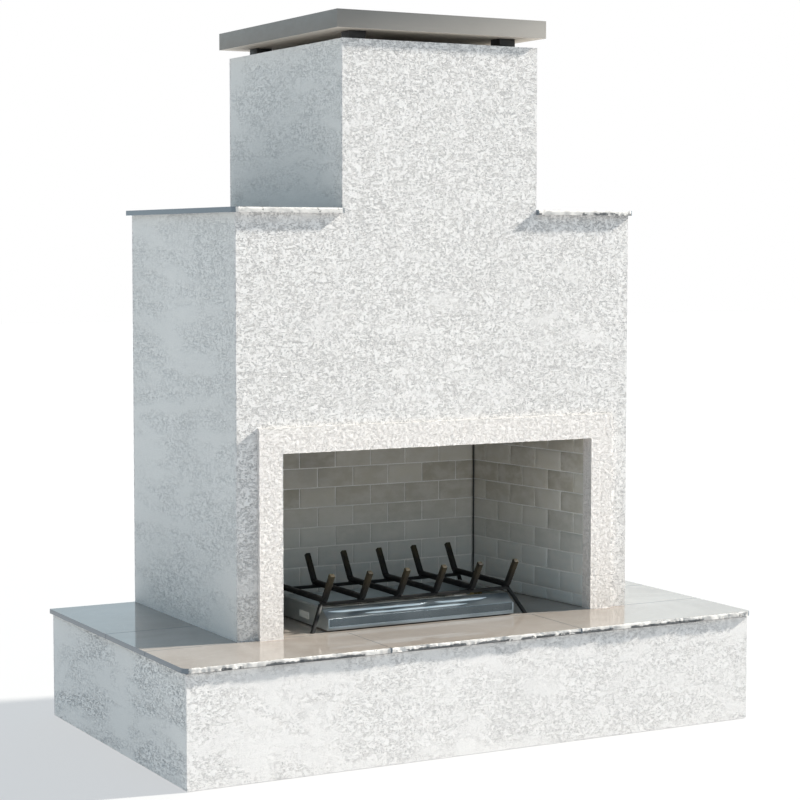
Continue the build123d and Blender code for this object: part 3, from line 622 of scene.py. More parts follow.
gloss = join(tree, "MAXIMUM", gloss, join(tree, "MULTIPLY", white, 0.6))
relief = bump(tree, join(tree, "MULTIPLY", ragged, white), 0.0011, 0.8)
dress(shader, blend(tree, white, tone, stone), gloss, relief, Specular_IOR_Level=0.5)

chipped, given, out = new_tree("broken_edge", Depth="Float", Finish="Material")
place = put(chipped, "GeometryNodeInputPosition").outputs[0]
coarse = ramp(chipped, noise(chipped, place, 38.0, 2.0, 0.5), 0.35, 0.65)
flakes = ramp(chipped, noise(chipped, place, 120.0, 2.0, 0.5), 0.35, 0.65)
chip = join(chipped, "ADD", join(chipped, "MULTIPLY", coarse, 0.6), join(chipped, "MULTIPLY", flakes, 0.4))
worn = ramp(chipped, noise(chipped, place, 11.0, 2.0, 0.5), 0.38, 0.6, 0.3, 1.0)
chip = join(chipped, "MULTIPLY", join(chipped, "MULTIPLY", chip, worn), given["Depth"])
end_tree(chipped, sink(chipped, given["Mesh"], chip), given["Finish"], out)


def plan_outline(face, pitch, is_front):
    """A face's edges: the corner each starts from, whether it's a front edge, and its short steps."""
    corners = [loop.vert.co.copy() for loop in face.loops]
    if face.normal.z < 0:
        corners.reverse()
    edges = []
    for start, stop in zip(corners, corners[1:] + corners[:1]):
        front = is_front((start + stop) / 2)
        edges.append((start, front, max(1, round((stop - start).length / pitch)) if front else 1))
    return edges


def set_in(edges, front_in, joint_in):
    """The outline moved inwards: the corners and joints by one distance, the front's steps by another."""
    moved = []
    for number, (point, _, _) in enumerate(edges):
        before, after = edges[number - 1][0], edges[(number + 1) % len(edges)][0]
        first, second = (point - before).normalized(), (after - point).normalized()
        a, b = Vector((-first.y, first.x, 0)), Vector((-second.y, second.x, 0))
        cross = a.x * b.y - a.y * b.x
        if abs(cross) < 0.02:
            moved.append(point + a * joint_in)
        else:
            moved.append(point + Vector((b.y - a.y, a.x - b.x, 0)) * (joint_in / cross))
    outline = []
    for start, stop, (_, _, count) in zip(moved, moved[1:] + moved[:1], edges):
        along = (stop - start).normalized()
        inward = Vector((-along.y, along.x, 0)) * (front_in - joint_in)
        for step in range(count):
            outline.append(start.lerp(stop, step / count) + (inward if step else Vector()))
    return outline


def node_mesh(node):
    """A CAD node's shape to work on, with its triangles joined into whole faces."""
    mesh = bmesh.new()
    mesh.from_mesh(frame["nodes"][node].data)
    bmesh.ops.remove_doubles(mesh, verts=mesh.verts, dist=0.00001)
    bmesh.ops.dissolve_limit(mesh, angle_limit=radians(1), verts=mesh.verts, edges=mesh.edges)
    return mesh


# A tile's rings from its foot to its top: how high up the edge each lies, how far it's set in along
# the front and along the joints, and how much of it is white stone.
edge_rings = (
    (0.0, 0.0, 0.0, 1.0), (0.3, 0.0, 0.0, 1.0), (0.6, 0.0, 0.0, 1.0), (0.86, 0.0004, 0.0, 1.0),
    (1.0, 0.0022, 0.0003, 0.55), (1.0, 0.0065, 0.0008, 0.1), (1.0, 0.014, 0.0012, 0.0),
)
edge_step = 0.0032


def stone_tile(node, is_front, chip=0.0045, shadow_line_start=0.0):
    """A node's tiles with ragged front edges and softened top edges, in place of the node."""
    plain = node_mesh(node)
    top_z = max(vert.co.z for vert in plain.verts)
    low_z = min(vert.co.z for vert in plain.verts)
    thick = top_z - low_z
    mesh = bmesh.new()
    lean = mesh.verts.layers.float_vector.new("outward")
    broken = mesh.verts.layers.float.new("broken")
    rise = mesh.verts.layers.float.new("rise")
    for face in [face for face in plain.faces if face.normal.z < -0.99]:
        edges = plan_outline(face, edge_step, is_front)
        spots = set_in(edges, 0.0, 0.0)
        ragged = []
        for number, (_, front, count) in enumerate(edges):
            ragged += [front and (step > 0 or edges[number - 1][1]) for step in range(count)]
        rings = []
        for share, front_in, joint_in, white in edge_rings:
            ring = []
            for number, spot in enumerate(set_in(edges, front_in, joint_in)):
                vert = mesh.verts.new((spot.x, spot.y, low_z + thick * share))
                vert[rise] = shadow_line_start + (1 - shadow_line_start) * share
                vert[broken] = white if ragged[number] else 0.0
                if ragged[number] and white > 0.5:
                    before, after = spots[number - 1], spots[(number + 1) % len(spots)]
                    along = (after - before).normalized()
                    if share < 0.95:
                        vert[lean] = Vector((along.y, -along.x, 0.3 if share > 0.8 else 0.0))
                    else:
                        vert[lean] = Vector((along.y, -along.x, 0.3)) * 0.4
                ring.append(vert)
            rings.append(ring)
        for lower, upper in zip(rings, rings[1:]):
            for number in range(len(lower)):
                after = (number + 1) % len(lower)
                mesh.faces.new((lower[number], lower[after], upper[after], upper[number]))
        mesh.faces.new(rings[-1])
        mesh.faces.new(list(reversed(rings[0])))
    plain.free()
    if mesh.calc_volume(signed=True) < 0:
        bmesh.ops.reverse_faces(mesh, faces=mesh.faces)
    piece = new_piece(node + "_stone", mesh)
    run_tree(piece, chipped, Depth=chip, Finish=tile_polish)
    smooth(piece, 40)
    stand_for(piece, node)


front_reach = 0.002
hearth_front = box_of("hearth_tile_front_middle")[0].y + front_reach
shelf_front = box_of("shoulder_tile_left")[0].y + front_reach
for node in ("hearth_tile_front_left", "hearth_tile_front_middle", "hearth_tile_front_right"):
    stone_tile(node, lambda spot: spot.y < hearth_front)
# The left shoulder tile's edge gets almost none of the painted shadow line.
for node, shadow_line_start in (("shoulder_tile_left", 0.8), ("shoulder_tile_right", 0.0)):
    stone_tile(node, lambda spot: spot.y < shelf_front, 0.0015, shadow_line_start)
for node in ("hearth_tiles_left", "hearth_tiles_right", "firebox_floor_tile"):
    stone_tile(node, lambda spot: False)


# The grout in the hearth's 2 mm joints, pressed a little below the polished faces.
grout_beige, tree, shader = new_material("grout_beige")
sand = noise(tree, object_place(tree), 600.0, 3.0)
stain = noise(tree, object_place(tree), 14.0, 3.0)
tone = blend(tree, ramp(tree, stain, 0.35, 0.65), (0.26, 0.235, 0.20), (0.36, 0.33, 0.29))
tone = blend(tree, ramp(tree, sand, 0.3, 0.6, 0.35, 0.0), tone, (0.16, 0.15, 0.13))
dress(shader, tone, 0.9, bump(tree, sand, 0.0003))
tile_low, tile_high = box_of("hearth_tile_front_middle")
wing_low, wing_high = box_of("hearth_tiles_right")
grout = 0.002
grout_high = tile_high.z - 0.0006
tip = 0.003
wing_joint = base_low.y + 0.53 - grout / 2
strips = []
for middle in (-tile_high.x - grout / 2, tile_high.x + grout / 2):
    strips.append((middle - grout / 2, middle + grout / 2, tile_low.y + tip, tile_high.y))
strips.append((tip - wing_high.x, wing_high.x - tip, tile_high.y, tile_high.y + grout))
strips.append((wing_low.x, wing_high.x - tip, wing_joint, wing_joint + grout))
strips.append((tip - wing_high.x, -wing_low.x, wing_joint, wing_joint + grout))
joints = bmesh.new()
for left, right, near, far in strips:
    corners = ((left, near), (right, near), (right, far), (left, far))
    foot = joints.faces.new([joints.verts.new((x, y, tile_low.z)) for x, y in corners])
    raised = bmesh.ops.extrude_face_region(joints, geom=[foot])["geom"]
    lifted = [item for item in raised if isinstance(item, bmesh.types.BMVert)]
    bmesh.ops.translate(joints, verts=lifted, vec=(0, 0, grout_high - tile_low.z))
bmesh.ops.recalc_face_normals(joints, faces=joints.faces)
hearth_grout = new_piece("hearth_grout", joints)
hearth_grout.data.materials.append(grout_beige)
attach(hearth_grout, "fireplace")


# The firebox: panels of moulded refractory brick in a running bond, each face a little out of true,
# on a bed of pale mortar. Panels stand 4 mm apart in the back corners.
lining_low, lining_high = box_of("lining_back")
brick_step = 0.118
course_step = 0.0585
first_course = 0.035
half_joint = 0.00175
brick_depth = 0.012
bed_front = 0.0028

bond, given, out = new_tree(
    "running_bond", Left="Float", Right="Float", Height="Float", Phase="Float", Depth="Float",
    Seed="Int", Brick="Material", Mortar="Material",
)


def sum_of(operation, first, second=0, third=0):
    """Up to three of the bond's values put together by a sum."""
    inputs = {0: first, 1: second, 2: third}
    return put(bond, "ShaderNodeMath", inputs, operation=operation).outputs[0]


def spot_of(x, y, z):
    """A point or a size in the bond's tree."""
    return put(bond, "ShaderNodeCombineXYZ", {0: x, 1: y, 2: z}).outputs[0]


def half_way(first, second):
    return sum_of("MULTIPLY", sum_of("ADD", first, second), 0.5)


left, right, height = (given[label] for label in ("Left", "Right", "Height"))
columns = sum_of("CEIL", sum_of("DIVIDE", sum_of("SUBTRACT", right, left), brick_step))
columns = sum_of("ADD", columns, 3)
courses = sum_of("CEIL", sum_of("DIVIDE", sum_of("SUBTRACT", height, first_course), course_step))
courses = sum_of("ADD", courses, 1)
spots = put(bond, "GeometryNodePoints", {"Count": sum_of("MULTIPLY", columns, courses)}).outputs[0]
number = put(bond, "GeometryNodeInputIndex").outputs[0]
course = sum_of("FLOOR", sum_of("DIVIDE", sum_of("ADD", number, 0.5), columns))
column = sum_of("SUBTRACT", number, sum_of("MULTIPLY", course, columns))
low = sum_of("MAXIMUM", sum_of("MULTIPLY_ADD", course, course_step, first_course - course_step))
high = sum_of("MINIMUM", sum_of("MULTIPLY_ADD", course, course_step, first_course), height)
first_joint = sum_of("ADD", given["Phase"], brick_step / 2)
skipped = sum_of("CEIL", sum_of("DIVIDE", sum_of("SUBTRACT", first_joint, left), brick_step))
skipped = sum_of("ADD", skipped, 1)
shift = sum_of("MULTIPLY", sum_of("MODULO", course, 2), brick_step / 2)
start = sum_of("MULTIPLY_ADD", sum_of("SUBTRACT", column, skipped), brick_step, first_joint)
start = sum_of("ADD", start, shift)
brick_left = sum_of("MAXIMUM", sum_of("ADD", start, half_joint), left)
brick_right = sum_of("MINIMUM", sum_of("ADD", start, brick_step - half_joint), right)
brick_low = sum_of("ADD", low, half_joint)
brick_high = sum_of("SUBTRACT", high, half_joint)
wide = sum_of("SUBTRACT", brick_right, brick_left)
tall = sum_of("SUBTRACT", brick_high, brick_low)
least_brick = {0: wide, 1: 0.006}
kept = put(bond, "FunctionNodeCompare", least_brick, operation="GREATER_THAN", data_type="FLOAT").outputs[0]
middle = spot_of(half_way(brick_left, brick_right), brick_depth / 2, half_way(brick_low, brick_high))
placed = put(bond, "GeometryNodeSetPosition", {"Geometry": spots, "Position": middle}).outputs[0]
cube = {"Size": (1, 1, 1), "Vertices X": 7, "Vertices Y": 2, "Vertices Z": 4}
cube = put(bond, "GeometryNodeMeshCube", cube).outputs[0]
laid = {"Points": placed, "Selection": kept, "Instance": cube, "Scale": spot_of(wide, brick_depth, tall)}
laid = put(bond, "GeometryNodeInstanceOnPoints", laid).outputs[0]
shade = {2: 0.0, 3: 1.0, "Seed": given["Seed"]}
shade = put(bond, "FunctionNodeRandomValue", shade, data_type="FLOAT").outputs[1]
toned = {"Geometry": laid, "Name": "brick_tone", "Value": shade}
toned = put(bond, "GeometryNodeStoreNamedAttribute", toned, domain="INSTANCE").outputs[0]
bricks = put(bond, "GeometryNodeRealizeInstances", {"Geometry": toned}).outputs[0]
uneven = noise(bond, put(bond, "GeometryNodeInputPosition").outputs[0], 34.0, 3.0, 0.55)
dent = spot_of(0.0, ramp(bond, uneven, 0.3, 0.62, 0.0014, 0.0), 0.0)
bricks = put(bond, "GeometryNodeSetPosition", {"Geometry": bricks, "Offset": dent}).outputs[0]
bed_deep = sum_of("SUBTRACT", given["Depth"], bed_front)
bed_size = spot_of(sum_of("SUBTRACT", right, left), bed_deep, height)
bed = {"Size": bed_size, "Vertices X": 60, "Vertices Y": 2, "Vertices Z": 40}
bed = put(bond, "GeometryNodeMeshCube", bed).outputs[0]
bed_y = sum_of("MULTIPLY_ADD", bed_deep, 0.5, bed_front)
bed_middle = spot_of(half_way(left, right), bed_y, sum_of("MULTIPLY", height, 0.5))
bed = put(bond, "GeometryNodeTransform", {"Geometry": bed, "Translation": bed_middle}).outputs[0]
both = put(bond, "GeometryNodeJoinGeometry")
bond.links.new(coated(bond, bed, given["Mortar"]), both.inputs[0])
bond.links.new(coated(bond, bricks, given["Brick"]), both.inputs[0])
panels = put(bond, "GeometryNodeRealizeInstances", {"Geometry": both.outputs[0]}).outputs[0]
bond.links.new(panels, out.inputs[0])

brick_face, tree, shader = new_material("brick_face")
place = object_place(tree)
tone_value = attribute(tree, "brick_tone")
smudge = noise(tree, object_place(tree, (1, 1, 1.6)), 22.0, 5.0, 0.6)
grit = noise(tree, place, 300.0, 3.0, 0.6)
soot = noise(tree, place, 3.0, 3.0)
height = put(tree, "ShaderNodeSeparateXYZ", {0: place}).outputs[2]
tone = blend(tree, ramp(tree, tone_value, 0.0, 1.0), (0.45, 0.425, 0.362), (0.65, 0.628, 0.562))
# The lower courses are painted lighter and bluer as painted light, which leaves the upper courses darker as
# painted shade.
tone = blend(tree, ramp(tree, height, 0.66, 0.36, 0.0, 0.7), tone, (0.65, 0.705, 0.72))
tone = blend(tree, ramp(tree, smudge, 0.35, 0.7, 0.0, 0.6), tone, (0.68, 0.665, 0.63))
tone = blend(tree, ramp(tree, soot, 0.5, 0.75, 0.0, 0.35), tone, (0.36, 0.36, 0.36))
tone = blend(tree, ramp(tree, grit, 0.35, 0.2, 0.0, 0.6), tone, (0.25, 0.24, 0.23))
dress(shader, tone, ramp(tree, grit, 0.3, 0.7, 0.8, 0.95), bump(tree, grit, 0.0006, 0.7))

mortar_bed, tree, shader = new_material("mortar_bed")
place = object_place(tree)
sand = noise(tree, place, 500.0, 2.0)
cloud = noise(tree, place, 9.0, 3.0)
tone = blend(tree, ramp(tree, cloud, 0.3, 0.7), (0.80, 0.80, 0.78), (0.90, 0.90, 0.88))
tone = blend(tree, ramp(tree, sand, 0.45, 0.25, 0.0, 0.5), tone, (0.25, 0.24, 0.23))
dress(shader, tone, 0.95, bump(tree, sand, 0.0005))


def round_off(piece, width, segments, angle):
    """Rounds the edges of a piece that turn by more than an angle."""
    edge = piece.modifiers.new("round_edge", "BEVEL")
    edge.width = width
    edge.segments = segments
    edge.limit_method = "ANGLE"
    edge.angle_limit = radians(angle)
    return edge


def brick_panel(name, node, left, right, phase, seed, origin, turn, flip):
    """A panel laid flat along X with its face towards -Y, then turned into its place."""
    panel = new_piece(name, bmesh.new())
    run_tree(
        panel, bond, Left=left, Right=right, Height=lining_high.z - lining_low.z, Phase=phase,
        Depth=panel_depth, Seed=seed, Brick=brick_face, Mortar=mortar_bed,
    )
    round_off(panel, 0.0016, 2, 50)
    settle(panel)
    mesh = bmesh.new()
    mesh.from_mesh(panel.data)
    for vert in mesh.verts:
        x, y = vert.co.x, vert.co.y
        along = Vector((x * cos(turn) - y * sin(turn), x * sin(turn) + y * cos(turn), vert.co.z))
        vert.co = along + origin
        vert.co.x *= flip
    if flip < 0:
        bmesh.ops.reverse_faces(mesh, faces=mesh.faces)
    mesh.to_mesh(panel.data)
    mesh.free()
    smooth(panel, 35)
    stand_for(panel, node)


panel_depth = 0.03
foot = lining_low.z
back_face = lining_low.y
back_origin = Vector((0, back_face, foot))
brick_panel("back_bricks", "lining_back", lining_low.x, lining_high.x, -0.052, 4, back_origin, 0, 1)
splay = 7
side_turn = radians(splay - 90)
side_origin = Vector((opening_half, band_high.y, foot))
side_length = 0.540
brick_panel("right_bricks", "lining_right", -side_length, 0, -0.103, 8, side_origin, side_turn, 1)
brick_panel("left_bricks", "lining_left", -side_length, 0, -0.103, 15, side_origin, side_turn, -1)


# Black rope seals the two rear corners, where the brick panels meet.
rope_black, tree, shader = new_material("rope_black")
strand = {"Vector": object_place(tree), "Scale": 160.0}
strand = put(tree, "ShaderNodeTexWave", strand, bands_direction="Z").outputs["Fac"]
tone = blend(tree, strand, (0.02, 0.021, 0.022), (0.06, 0.062, 0.064))
dress(shader, tone, 0.85, bump(tree, strand, 0.0008))
corner_x = opening_half - (back_face - band_high.y) * tan(radians(splay))
rope_radius = 0.0018
rope_inset = 0.001
length = lining_high.z - foot
ropes = bmesh.new()
for sign in (-1, 1):
    place = Vector((sign * (corner_x - rope_inset), back_face - rope_inset, foot + length / 2))
    bmesh.ops.create_cone(
        ropes, cap_ends=True, segments=12, radius1=rope_radius, radius2=rope_radius, depth=length,
        matrix=Matrix.Translation(place),
    )
bmesh.ops.recalc_face_normals(ropes, faces=ropes.faces)
corner_ropes = new_piece("corner_ropes", ropes)
corner_ropes.data.materials.append(rope_black)
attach(corner_ropes, "fireplace")


# The sheet steel firebox, smoke hood and flue: aluminised sheet, smoked brown above the fire. The
# lintel is painted black, and the chimney's top plate in a pale weather paint.
sheet_smoked = zinc_finish("sheet_smoked", (0.46, 0.455, 0.44), 60.0)
paint(sheet_smoked, "firebox_shell", "smoke_hood", "flue_pipe")


def softened(name, width, is_bend=None, bend=0.0):
    """A node's own shape with its sharp edges rounded, which then stands for the node."""
    mesh = node_mesh(name)
    if is_bend:
        bent = [edge for edge in mesh.edges if is_bend(*(vert.co for vert in edge.verts))]
        bmesh.ops.bevel(mesh, geom=bent, offset=bend, segments=6, profile=0.5, affect="EDGES")
    piece = new_piece(name + "_made", mesh)
    round_off(piece, width, 2, 30).harden_normals = True
    piece.data.shade_smooth()
    settle(piece)
    stand_for(piece, name)
    return piece


def satin_paint(name, base, worn, rough):
    """Baked enamel: an even colour with faint clouds, orange peel and lighter worn spots."""
    material, tree, shader = new_material(name)
    place = object_place(tree)
    cloud = noise(tree, place, 4.0, 4.0)
    peel = noise(tree, place, 380.0, 2.0)
    rub = noise(tree, object_place(tree, (1, 1, 3)), 30.0, 5.0, 0.65)
    tone = blend(tree, ramp(tree, cloud, 0.3, 0.7, 0.0, 0.5), base, worn)
    tone = blend(tree, ramp(tree, rub, 0.62, 0.8, 0.0, 0.6), tone, worn)
    dress(shader, tone, ramp(tree, rub, 0.3, 0.8, rough, rough + 0.15), bump(tree, peel, 0.00012, 0.5))
    return material


lintel_black = satin_paint("lintel_black", (0.02, 0.02, 0.02), (0.06, 0.05, 0.045), 0.5)
paint(lintel_black, "lintel_angle")
top_pale = satin_paint("top_pale", (0.66, 0.65, 0.62), (0.76, 0.75, 0.72), 0.6)
paint(top_pale, "chimney_top_plate")


# The cap: a pan of folded sheet in taupe enamel over a turned up base, on four black tube posts. The
# base is painted a pale warm tone as painted light, so that its shaded underside reads as lit by the
# sun bounced up from the chimney's top plate.
cap_enamel = satin_paint("cap_enamel", (0.215, 0.205, 0.19), (0.255, 0.245, 0.23), 0.48)
softened("cap_pan", 0.0018).data.materials.append(cap_enamel)
# Painted light: the base's pale warm tone stands in for the glow bounced onto its underside.
cap_base_painted_glow = satin_paint("cap_base_painted_glow", (0.62, 0.565, 0.50), (0.68, 0.63, 0.57), 0.55)
softened("cap_base", 0.0008).data.materials.append(cap_base_painted_glow)
post_black = satin_paint("post_black", (0.012, 0.012, 0.012), (0.03, 0.03, 0.03), 0.45)
softened("cap_posts", 0.002).data.materials.append(post_black)


# Cap screws: hex heads with a washer face, driven through the hidden flanges into the base's lip.
pan_low, pan_high = box_of("cap_pan")
screws, given, out = new_tree("cap_screws", Spacing="Float", Count="Int", Finish="Material")
head, washer, shank = (6, 0.0038, 0.0018, 0.0015), (24, 0.0045, 0.0007, 0.00035), (12, 0.002, 0.009, -0.0045)
screw = put(screws, "GeometryNodeJoinGeometry")
for sides, radius, depth, middle in (head, washer, shank):
    solid = {"Vertices": sides, "Radius": radius, "Depth": depth}
    solid = put(screws, "GeometryNodeMeshCylinder", solid).outputs[0]
    solid = put(screws, "GeometryNodeTransform", {"Geometry": solid, "Translation": (0, 0, middle)})
    screws.links.new(solid.outputs[0], screw.inputs[0])
row = put(screws, "GeometryNodePoints", {"Count": given["Count"]}).outputs[0]
number = put(screws, "GeometryNodeInputIndex").outputs[0]
last = join(screws, "SUBTRACT", given["Count"], 1)
place = join(screws, "SUBTRACT", number, join(screws, "MULTIPLY", last, 0.5))
place = join(screws, "MULTIPLY", place, given["Spacing"])
place = put(screws, "ShaderNodeCombineXYZ", {0: place}).outputs[0]
row = put(screws, "GeometryNodeSetPosition", {"Geometry": row, "Position": place}).outputs[0]
row = put(screws, "GeometryNodeInstanceOnPoints", {"Points": row, "Instance": screw.outputs[0]}).outputs[0]
end_tree(screws, row, given["Finish"], out)

screw_zinc = zinc_finish("screw_zinc", (0.62, 0.61, 0.58), 900.0)
screw_z = pan_low.z + 0.0085
both_rows = bmesh.new()
for count, spacing, turn, spot in (
    (3, 0.26, 0.0, Vector((0, pan_high.y, screw_z))),
    (2, 0.48, radians(-90), Vector((pan_high.x, (pan_low.y + pan_high.y) / 2, screw_z))),
):
    line = new_piece("screw_row", bmesh.new())
    run_tree(line, screws, Spacing=spacing, Count=count, Finish=screw_zinc)
    stand = Euler((radians(-90), 0, 0)).to_matrix().to_4x4()
    line.data.transform(Euler((0, 0, turn)).to_matrix().to_4x4() @ stand)
    for vert in line.data.vertices:
        vert.co += spot
    both_rows.from_mesh(line.data)
    bpy.data.objects.remove(line)
cap_screws = new_piece("cap_screws_made", both_rows)
cap_screws.data.materials.append(screw_zinc)
stand_for(cap_screws, "cap_screws")


# The grate: six 14 mm square bars with both ends bent up, laid across two bars and welded, on four
# splayed legs. Black stove paint, burned off to a brown bloom towards the tips.
stove_black, tree, shader = new_material("stove_black")
place = object_place(tree)
height = put(tree, "ShaderNodeSeparateXYZ", {0: place}).outputs[2]
burn = noise(tree, place, 26.0, 5.0, 0.65)
scale = noise(tree, place, 210.0, 3.0)
tips = join(tree, "MULTIPLY", ramp(tree, height, 0.405, 0.47), ramp(tree, burn, 0.3, 0.6))
tone = blend(tree, tips, (0.007, 0.0075, 0.008), (0.046, 0.037, 0.020))
tone = blend(tree, ramp(tree, scale, 0.6, 0.75, 0.0, 0.5), tone, (0.03, 0.026, 0.02))
gloss = ramp(tree, burn, 0.3, 0.7, 0.42, 0.7)
dress(shader, tone, gloss, bump(tree, scale, 0.0003, 0.6), Specular_IOR_Level=0.2)
grate_bars = [f"grate_bar_{number}" for number in range(1, 7)]
for node in grate_bars + ["grate_crossbars", "grate_legs"]:
    softened(node, 0.0012).data.materials.append(stove_black)


# Weld beads on the grate: a short bead down each side of every bar where it crosses.
cross_low, cross_high = box_of("grate_crossbars")
cross_half = (cross_high.z - cross_low.z) / 2
welds, given, out = new_tree("weld_beads", Length="Float", Size="Float", Seed="Int", Finish="Material")
drops = put(welds, "GeometryNodeMeshIcoSphere", {"Radius": given["Size"], "Subdivisions": 2}).outputs[0]
start, step = (
    put(welds, "ShaderNodeCombineXYZ", {1: join(welds, "MULTIPLY", given["Length"], share)}).outputs[0]
    for share in (-0.5, 0.2)
)
line = {"Count": 6, "Start Location": start, "Offset": step}
line = put(welds, "GeometryNodeMeshLine", line).outputs[0]
vary = {2: 0.8, 3: 1.15, "Seed": given["Seed"]}
vary = put(welds, "FunctionNodeRandomValue", vary, data_type="FLOAT").outputs[1]
bead = {"Points": line, "Instance": drops, "Scale": vary}
bead = put(welds, "GeometryNodeInstanceOnPoints", bead).outputs[0]
crossings = {"Points": given["Mesh"], "Instance": bead}
crossings = put(welds, "GeometryNodeInstanceOnPoints", crossings).outputs[0]
end_tree(welds, crossings, given["Finish"], out)
spots = bmesh.new()
for node in grate_bars:
    low, high = box_of(node)
    for y in (cross_low.y + cross_half, cross_high.y - cross_half):
        for x in (low.x, high.x):
            spots.verts.new((x, y, cross_high.z))
grate_welds = new_piece("grate_welds", spots)
run_tree(grate_welds, welds, Length=0.010, Size=0.0026, Seed=3, Finish=stove_black)
grate_welds.data.shade_smooth()
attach(grate_welds, "grate")


# The burner tray: a folded pan of polished stainless steel on four feet, hemmed along the front,
# with three pressed beads along its slope, two of them in line. The ends are a duller steel, and the
# other faces take lit and shaded copies of it: painted reflection, dark on the front and grey on the
# slope and hem, and a painted highlight on the hem's top edges.
def polished_steel(name, dark, bright, rough, metal=1.0):
    material, tree, shader = new_material(name)
    smear = noise(tree, object_place(tree, (0.4, 2.5, 2.5)), 18.0, 5.0, 0.6)
    cloud = noise(tree, object_place(tree), 6.0, 3.0)
    tone = blend(tree, ramp(tree, cloud, 0.3, 0.7, 0.0, 1.0), dark, bright)
    gloss = ramp(tree, smear, 0.3, 0.75, rough, rough + 0.1)
    dress(shader, tone, gloss, bump(tree, smear, 0.0003, 0.12), Metallic=metal)
    return material


tray_low, tray_high = box_of("burner_tray")
hem_thickness = 0.0025
tray_front = tray_low.y + hem_thickness
tray_floor = hearth_z + 0.004
tray_shoulder = tray_floor + 0.031
slope_depth = 0.035


def on_bend(first, second):
    """True on the long fold between the tray's upright front and its slope."""
    off_fold = [max(abs(co.y - tray_front), abs(co.z - tray_shoulder)) for co in (first, second)]
    return max(off_fold) < 0.0004 and (first - second).length > 0.1


# Lit and shaded copies of the one steel: the duller steel, a dark and a grey painted reflection, and a
# painted highlight. The beads' steel is made brighter as painted highlight too.
tray_dull = polished_steel("tray_dull", (0.38, 0.40, 0.40), (0.50, 0.52, 0.52), 0.45, 0.8)
tray_dark_reflection = polished_steel("tray_dark_reflection", (0.09, 0.105, 0.115), (0.13, 0.145, 0.155), 0.24)
tray_grey_reflection = polished_steel("tray_grey_reflection", (0.21, 0.24, 0.26), (0.34, 0.38, 0.41), 0.34, 0.8)
tray_painted_highlight = polished_steel("tray_painted_highlight", (0.72, 0.76, 0.79), (0.84, 0.87, 0.89), 0.36)
tray_bead_highlight_steel = polished_steel("tray_bead_highlight_steel", (0.44, 0.49, 0.52), (0.58, 0.63, 0.66), 0.30, 0.9)
tray = softened("burner_tray", 0.0007, is_bend=on_bend, bend=0.0015)
for finish in (tray_dull, tray_dark_reflection, tray_grey_reflection, tray_painted_highlight):
    tray.data.materials.append(finish)
# Each face takes a copy by the way it faces: the hem's upward edges the painted highlight, the hem's fronts
# and the slope the grey painted reflection, the upright front and its fold the dark one.
for face in tray.data.polygons:
    middle, normal = face.center, face.normal
    if middle.y < tray_front - 0.0003:
        face.material_index = 3 if normal.z > 0.3 and middle.z < tray_shoulder - 0.004 else 2
    elif normal.y < -0.3 and middle.y < tray_front + slope_depth:
        face.material_index = 1 if normal.z < 0.6 else 2

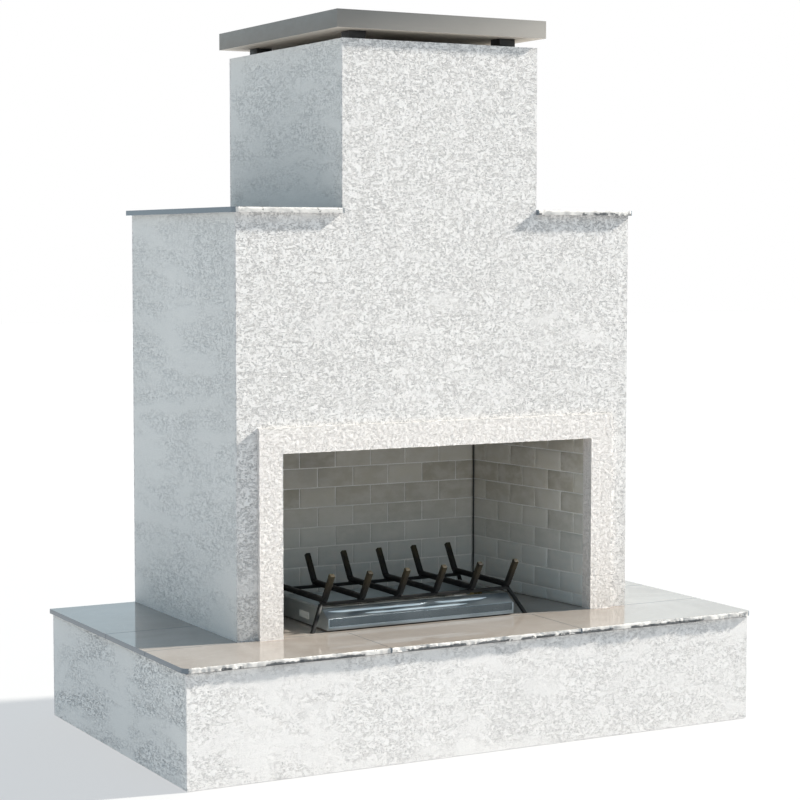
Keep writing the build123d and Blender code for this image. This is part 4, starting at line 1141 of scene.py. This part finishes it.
bead_high = 0.0032
bead_taper = 0.05
tray_width = tray_high.x - tray_low.x
upper_bead = (0.72, 0.0075)
lower_bead = (0.30, 0.0055)
slope_rise = tray_high.z - tray_shoulder
up_slope = Vector((0, slope_depth, slope_rise)).normalized()
off_slope = Vector((0, -slope_rise, slope_depth)).normalized()
bead = bmesh.new()
bead_steps = 32
bead_sides = 16
for start, stop, (share, bead_half) in (
    (tray_low.x + 0.012, -0.018, upper_bead), (0.002, tray_high.x - 0.07, upper_bead),
    (tray_low.x + tray_width * 0.20, tray_low.x + tray_width * 0.76, lower_bead),
):
    bead_place = Vector((0, tray_front + slope_depth * share, tray_shoulder + slope_rise * share))
    bead_place -= off_slope * 0.0004
    rings = []
    for step in range(bead_steps + 1):
        x = start + (stop - start) * (0.5 - 0.5 * cos(pi * step / bead_steps))
        near = min(x - start, stop - x, bead_taper) / bead_taper
        size = max(0.02, sin(pi / 2 * near) ** 0.7)
        ring = []
        for turn in range(bead_sides):
            angle = 2 * pi * turn / bead_sides
            spot = bead_place + up_slope * cos(angle) * bead_half * size
            spot += off_slope * sin(angle) * bead_high * size
            ring.append(bead.verts.new((x, spot.y, spot.z)))
        rings.append(ring)
    for first, second in zip(rings, rings[1:]):
        for turn in range(bead_sides):
            after = (turn + 1) % bead_sides
            bead.faces.new((first[turn], first[after], second[after], second[turn]))
    bead.faces.new(rings[0])
    bead.faces.new(list(reversed(rings[-1])))
bmesh.ops.recalc_face_normals(bead, faces=bead.faces)
tray_bead = new_piece("tray_bead", bead)
tray_bead.data.materials.append(tray_bead_highlight_steel)
smooth(tray_bead, 40)
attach(tray_bead, "fireplace")

burner_steel = polished_steel("burner_steel", (0.48, 0.46, 0.42), (0.60, 0.59, 0.57), 0.25)
paint(burner_steel, "burner_tube", "air_mixer", "air_shutter")
plate_satin = polished_steel("plate_satin", (0.60, 0.61, 0.60), (0.74, 0.75, 0.74), 0.5, 0.3)
paint(plate_satin, "tray_plate")


# The gas line: black pipe, a brass jet, valve and stem, and the chromed cover plate on the wall.
pipe_black = satin_paint("pipe_black", (0.02, 0.02, 0.021), (0.05, 0.05, 0.052), 0.4)
paint(pipe_black, "burner_pipe", "supply_pipe")
brass = polished_steel("valve_brass", (0.52, 0.38, 0.14), (0.66, 0.50, 0.22), 0.22)
paint(brass, "gas_jet", "valve_body", "valve_stem")
chrome = polished_steel("cover_chrome", (0.70, 0.71, 0.72), (0.80, 0.81, 0.82), 0.06)
paint(chrome, "valve_escutcheon")

# The key light rakes along the front, so the two walls that face it would burn out and the polished
# tray would glare. They're kept out of it, and a weaker lamp from the same side lights them.
soft_key = sun_lamp("soft_key_light", 1.8, **late_sun)
for lamp, state in ((key, "EXCLUDE"), (soft_key, "INCLUDE")):
    facing = bpy.data.collections.new(lamp.name + "_pieces")
    for name in ("right_coat", "base_coat_right", "burner_tray_made", "tray_bead"):
        facing.objects.link(bpy.data.objects[name])
    for member in facing.collection_objects:
        member.light_linking.link_state = state
    lamp.light_linking.receiver_collection = facing
